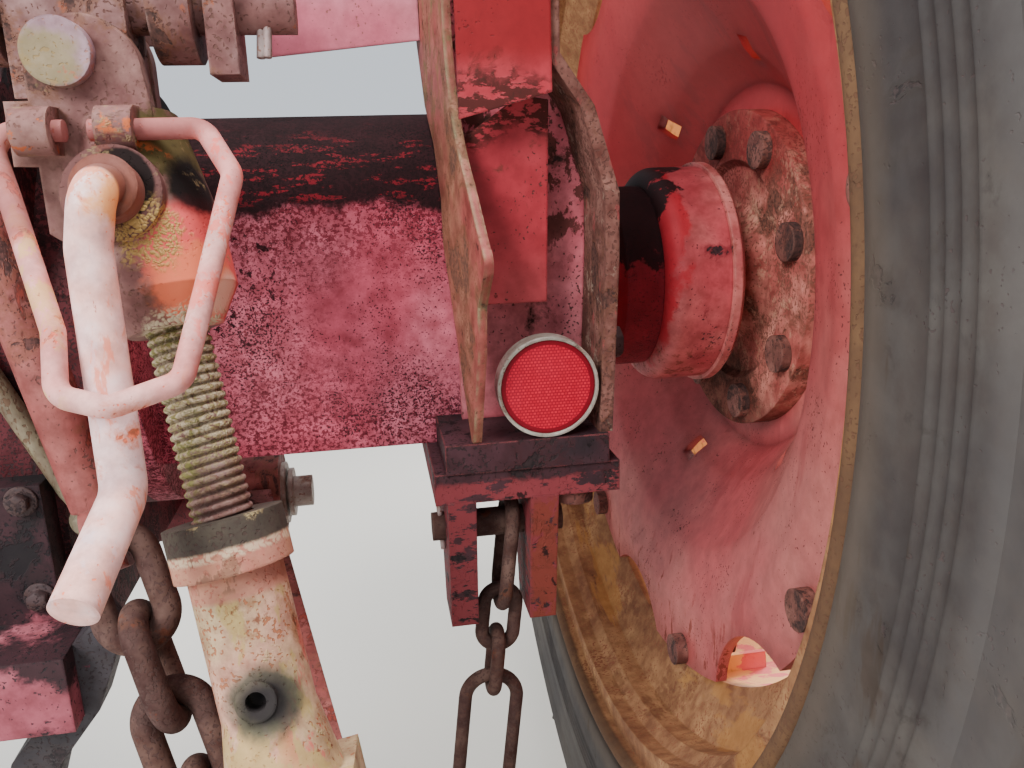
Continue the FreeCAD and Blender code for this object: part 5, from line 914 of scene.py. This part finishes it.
bolt_black = worked_iron(
    "bolt_black", seen(52, 44, 46), seen(84, 66, 66), seen(34, 28, 30), halo=seen(70, 50, 46),
    patch=40, flaking=0.5, speckle=0.7, rim=seen(120, 92, 88), depth=0.0009)
frame_bolt_places = ((0.3420, -0.168, -0.0800), (0.3430, -0.168, -0.1357), (0.3160, -0.168, -0.1000))
heads = []
for place in frame_bolt_places:
    heads += bolt_head(place, (0, -1, 0), 0.0058, 0.0075)
finish_piece(join_as("frame_bolts", heads), bolt_black, "root", 0.5)
finish_piece(join_as("post_side_bolt", bolt_head((0.672, -0.116, -0.0262), (1, 0, 0), 0.0105, 0.013)),
             bolt_black, "root", 0.5)


# Steady rod down the casing's rear face: a round bar with its ends hammered flat, and
# bolted to the casing through them.
rod_upper = Vector((0.3020, -0.1560, 0.0600))
rod_lower = Vector((0.3735, -0.1560, -0.1080))
rod_radius = 0.0058
flat_length = 0.030


def flattened_rod(name, upper, lower, radius):
    """A round bar drawn out at both ends, each end pressed flat."""
    line = (lower - upper).normalized()
    turned = line.to_track_quat("Z", "Y").to_matrix().to_4x4()
    length = (lower - upper).length
    bpy.ops.object.select_all(action="DESELECT")
    bpy.ops.mesh.primitive_cylinder_add(vertices=24, radius=radius, depth=length - flat_length * 2)
    bar = bpy.context.object
    for end in (-1, 1):
        bpy.ops.object.mode_set(mode="EDIT")
        bpy.ops.mesh.select_all(action="DESELECT")
        bpy.ops.mesh.select_mode(type="FACE")
        bpy.ops.object.mode_set(mode="OBJECT")
        for face in bar.data.polygons:
            face.select = face.normal.z * end > 0.9
        bpy.ops.object.mode_set(mode="EDIT")
        bpy.ops.mesh.extrude_region_move(TRANSFORM_OT_translate={"value": (0, 0, end * flat_length * 0.45)})
        bpy.ops.transform.resize(value=(1.5, 0.45, 1), center_override=(0, 0, 0))
        bpy.ops.mesh.extrude_region_move(TRANSFORM_OT_translate={"value": (0, 0, end * flat_length * 0.55)})
        bpy.ops.transform.resize(value=(0.75, 1, 1), center_override=(0, 0, 0))
        bpy.ops.object.mode_set(mode="OBJECT")
    bar.matrix_world = Matrix.Translation((upper + lower) / 2) @ turned
    bpy.ops.object.transform_apply(location=True, rotation=True, scale=True)
    return bar


rod_grey = worked_iron(
    "steady_rod_grey", seen(122, 112, 92), seen(140, 128, 104), seen(70, 58, 46), halo=seen(104, 86, 62),
    patch=30, flaking=0.5, speckle=0.7, mottle=0.8, rim=seen(160, 150, 126), depth=0.0009, stretch=(1, 1, 0.6))
steady = flattened_rod("steady_rod", rod_upper, rod_lower, rod_radius)
ends = bolt_head(rod_upper + Vector((0.004, -0.0015, -0.010)), (0, -1, 0), 0.0065, 0.008)
ends += bolt_head(rod_lower + Vector((-0.004, -0.0015, 0.010)), (0, -1, 0), 0.0065, 0.008)
finish_piece(join_as("steady_rod", [steady] + ends), rod_grey, "root", 0.6)


# Split pins: half-round wire folded double, with a loop at the head and the two legs
# spread, one through the end of the lift arm's pin and one through the chain's pin.
def split_pin(name, place, facing, length, wire, finish, body):
    """A loop of wire and its two legs, the loop at place and the legs running along facing."""
    turned = Vector(facing).to_track_quat("Z", "Y").to_matrix().to_4x4()
    bpy.ops.object.select_all(action="DESELECT")
    bpy.ops.mesh.primitive_torus_add(major_radius=wire * 2.1, minor_radius=wire, major_segments=24,
                                     minor_segments=10, rotation=(math.pi / 2, 0, 0))
    parts = [bpy.context.object]
    for side in (-1, 1):
        bpy.ops.mesh.primitive_cylinder_add(vertices=12, radius=wire, depth=length,
                                            location=(side * wire * 0.85, 0, length / 2 + wire * 1.6))
        parts.append(bpy.context.object)
    piece = join_as(name, parts)
    bpy.ops.object.mode_set(mode="OBJECT")
    bpy.ops.object.transform_apply(location=True, rotation=True, scale=True)
    piece.matrix_world = Matrix.Translation(place) @ turned
    bpy.ops.object.transform_apply(location=True, rotation=True, scale=True)
    bpy.ops.object.mode_set(mode="EDIT")
    finish_piece(piece, finish, body, 0.9)


pin_wire = worked_iron(
    "split_pin_steel", seen(150, 126, 122), seen(170, 150, 146), seen(96, 72, 62), halo=seen(130, 96, 80),
    patch=60, flaking=0.5, speckle=0.5, rough=(0.5, 0.8), metal=0.2, depth=0.0004)
split_pin("arm_split_pin", (0.4935, -0.185, 0.1735), (-0.08, -0.18, -1), 0.036, 0.0020, pin_wire, "lift_arm")
split_pin("chain_split_pin", (0.5640, -0.125, -0.1245), (0.05, 0, -1), 0.024, 0.0016, pin_wire, "root")
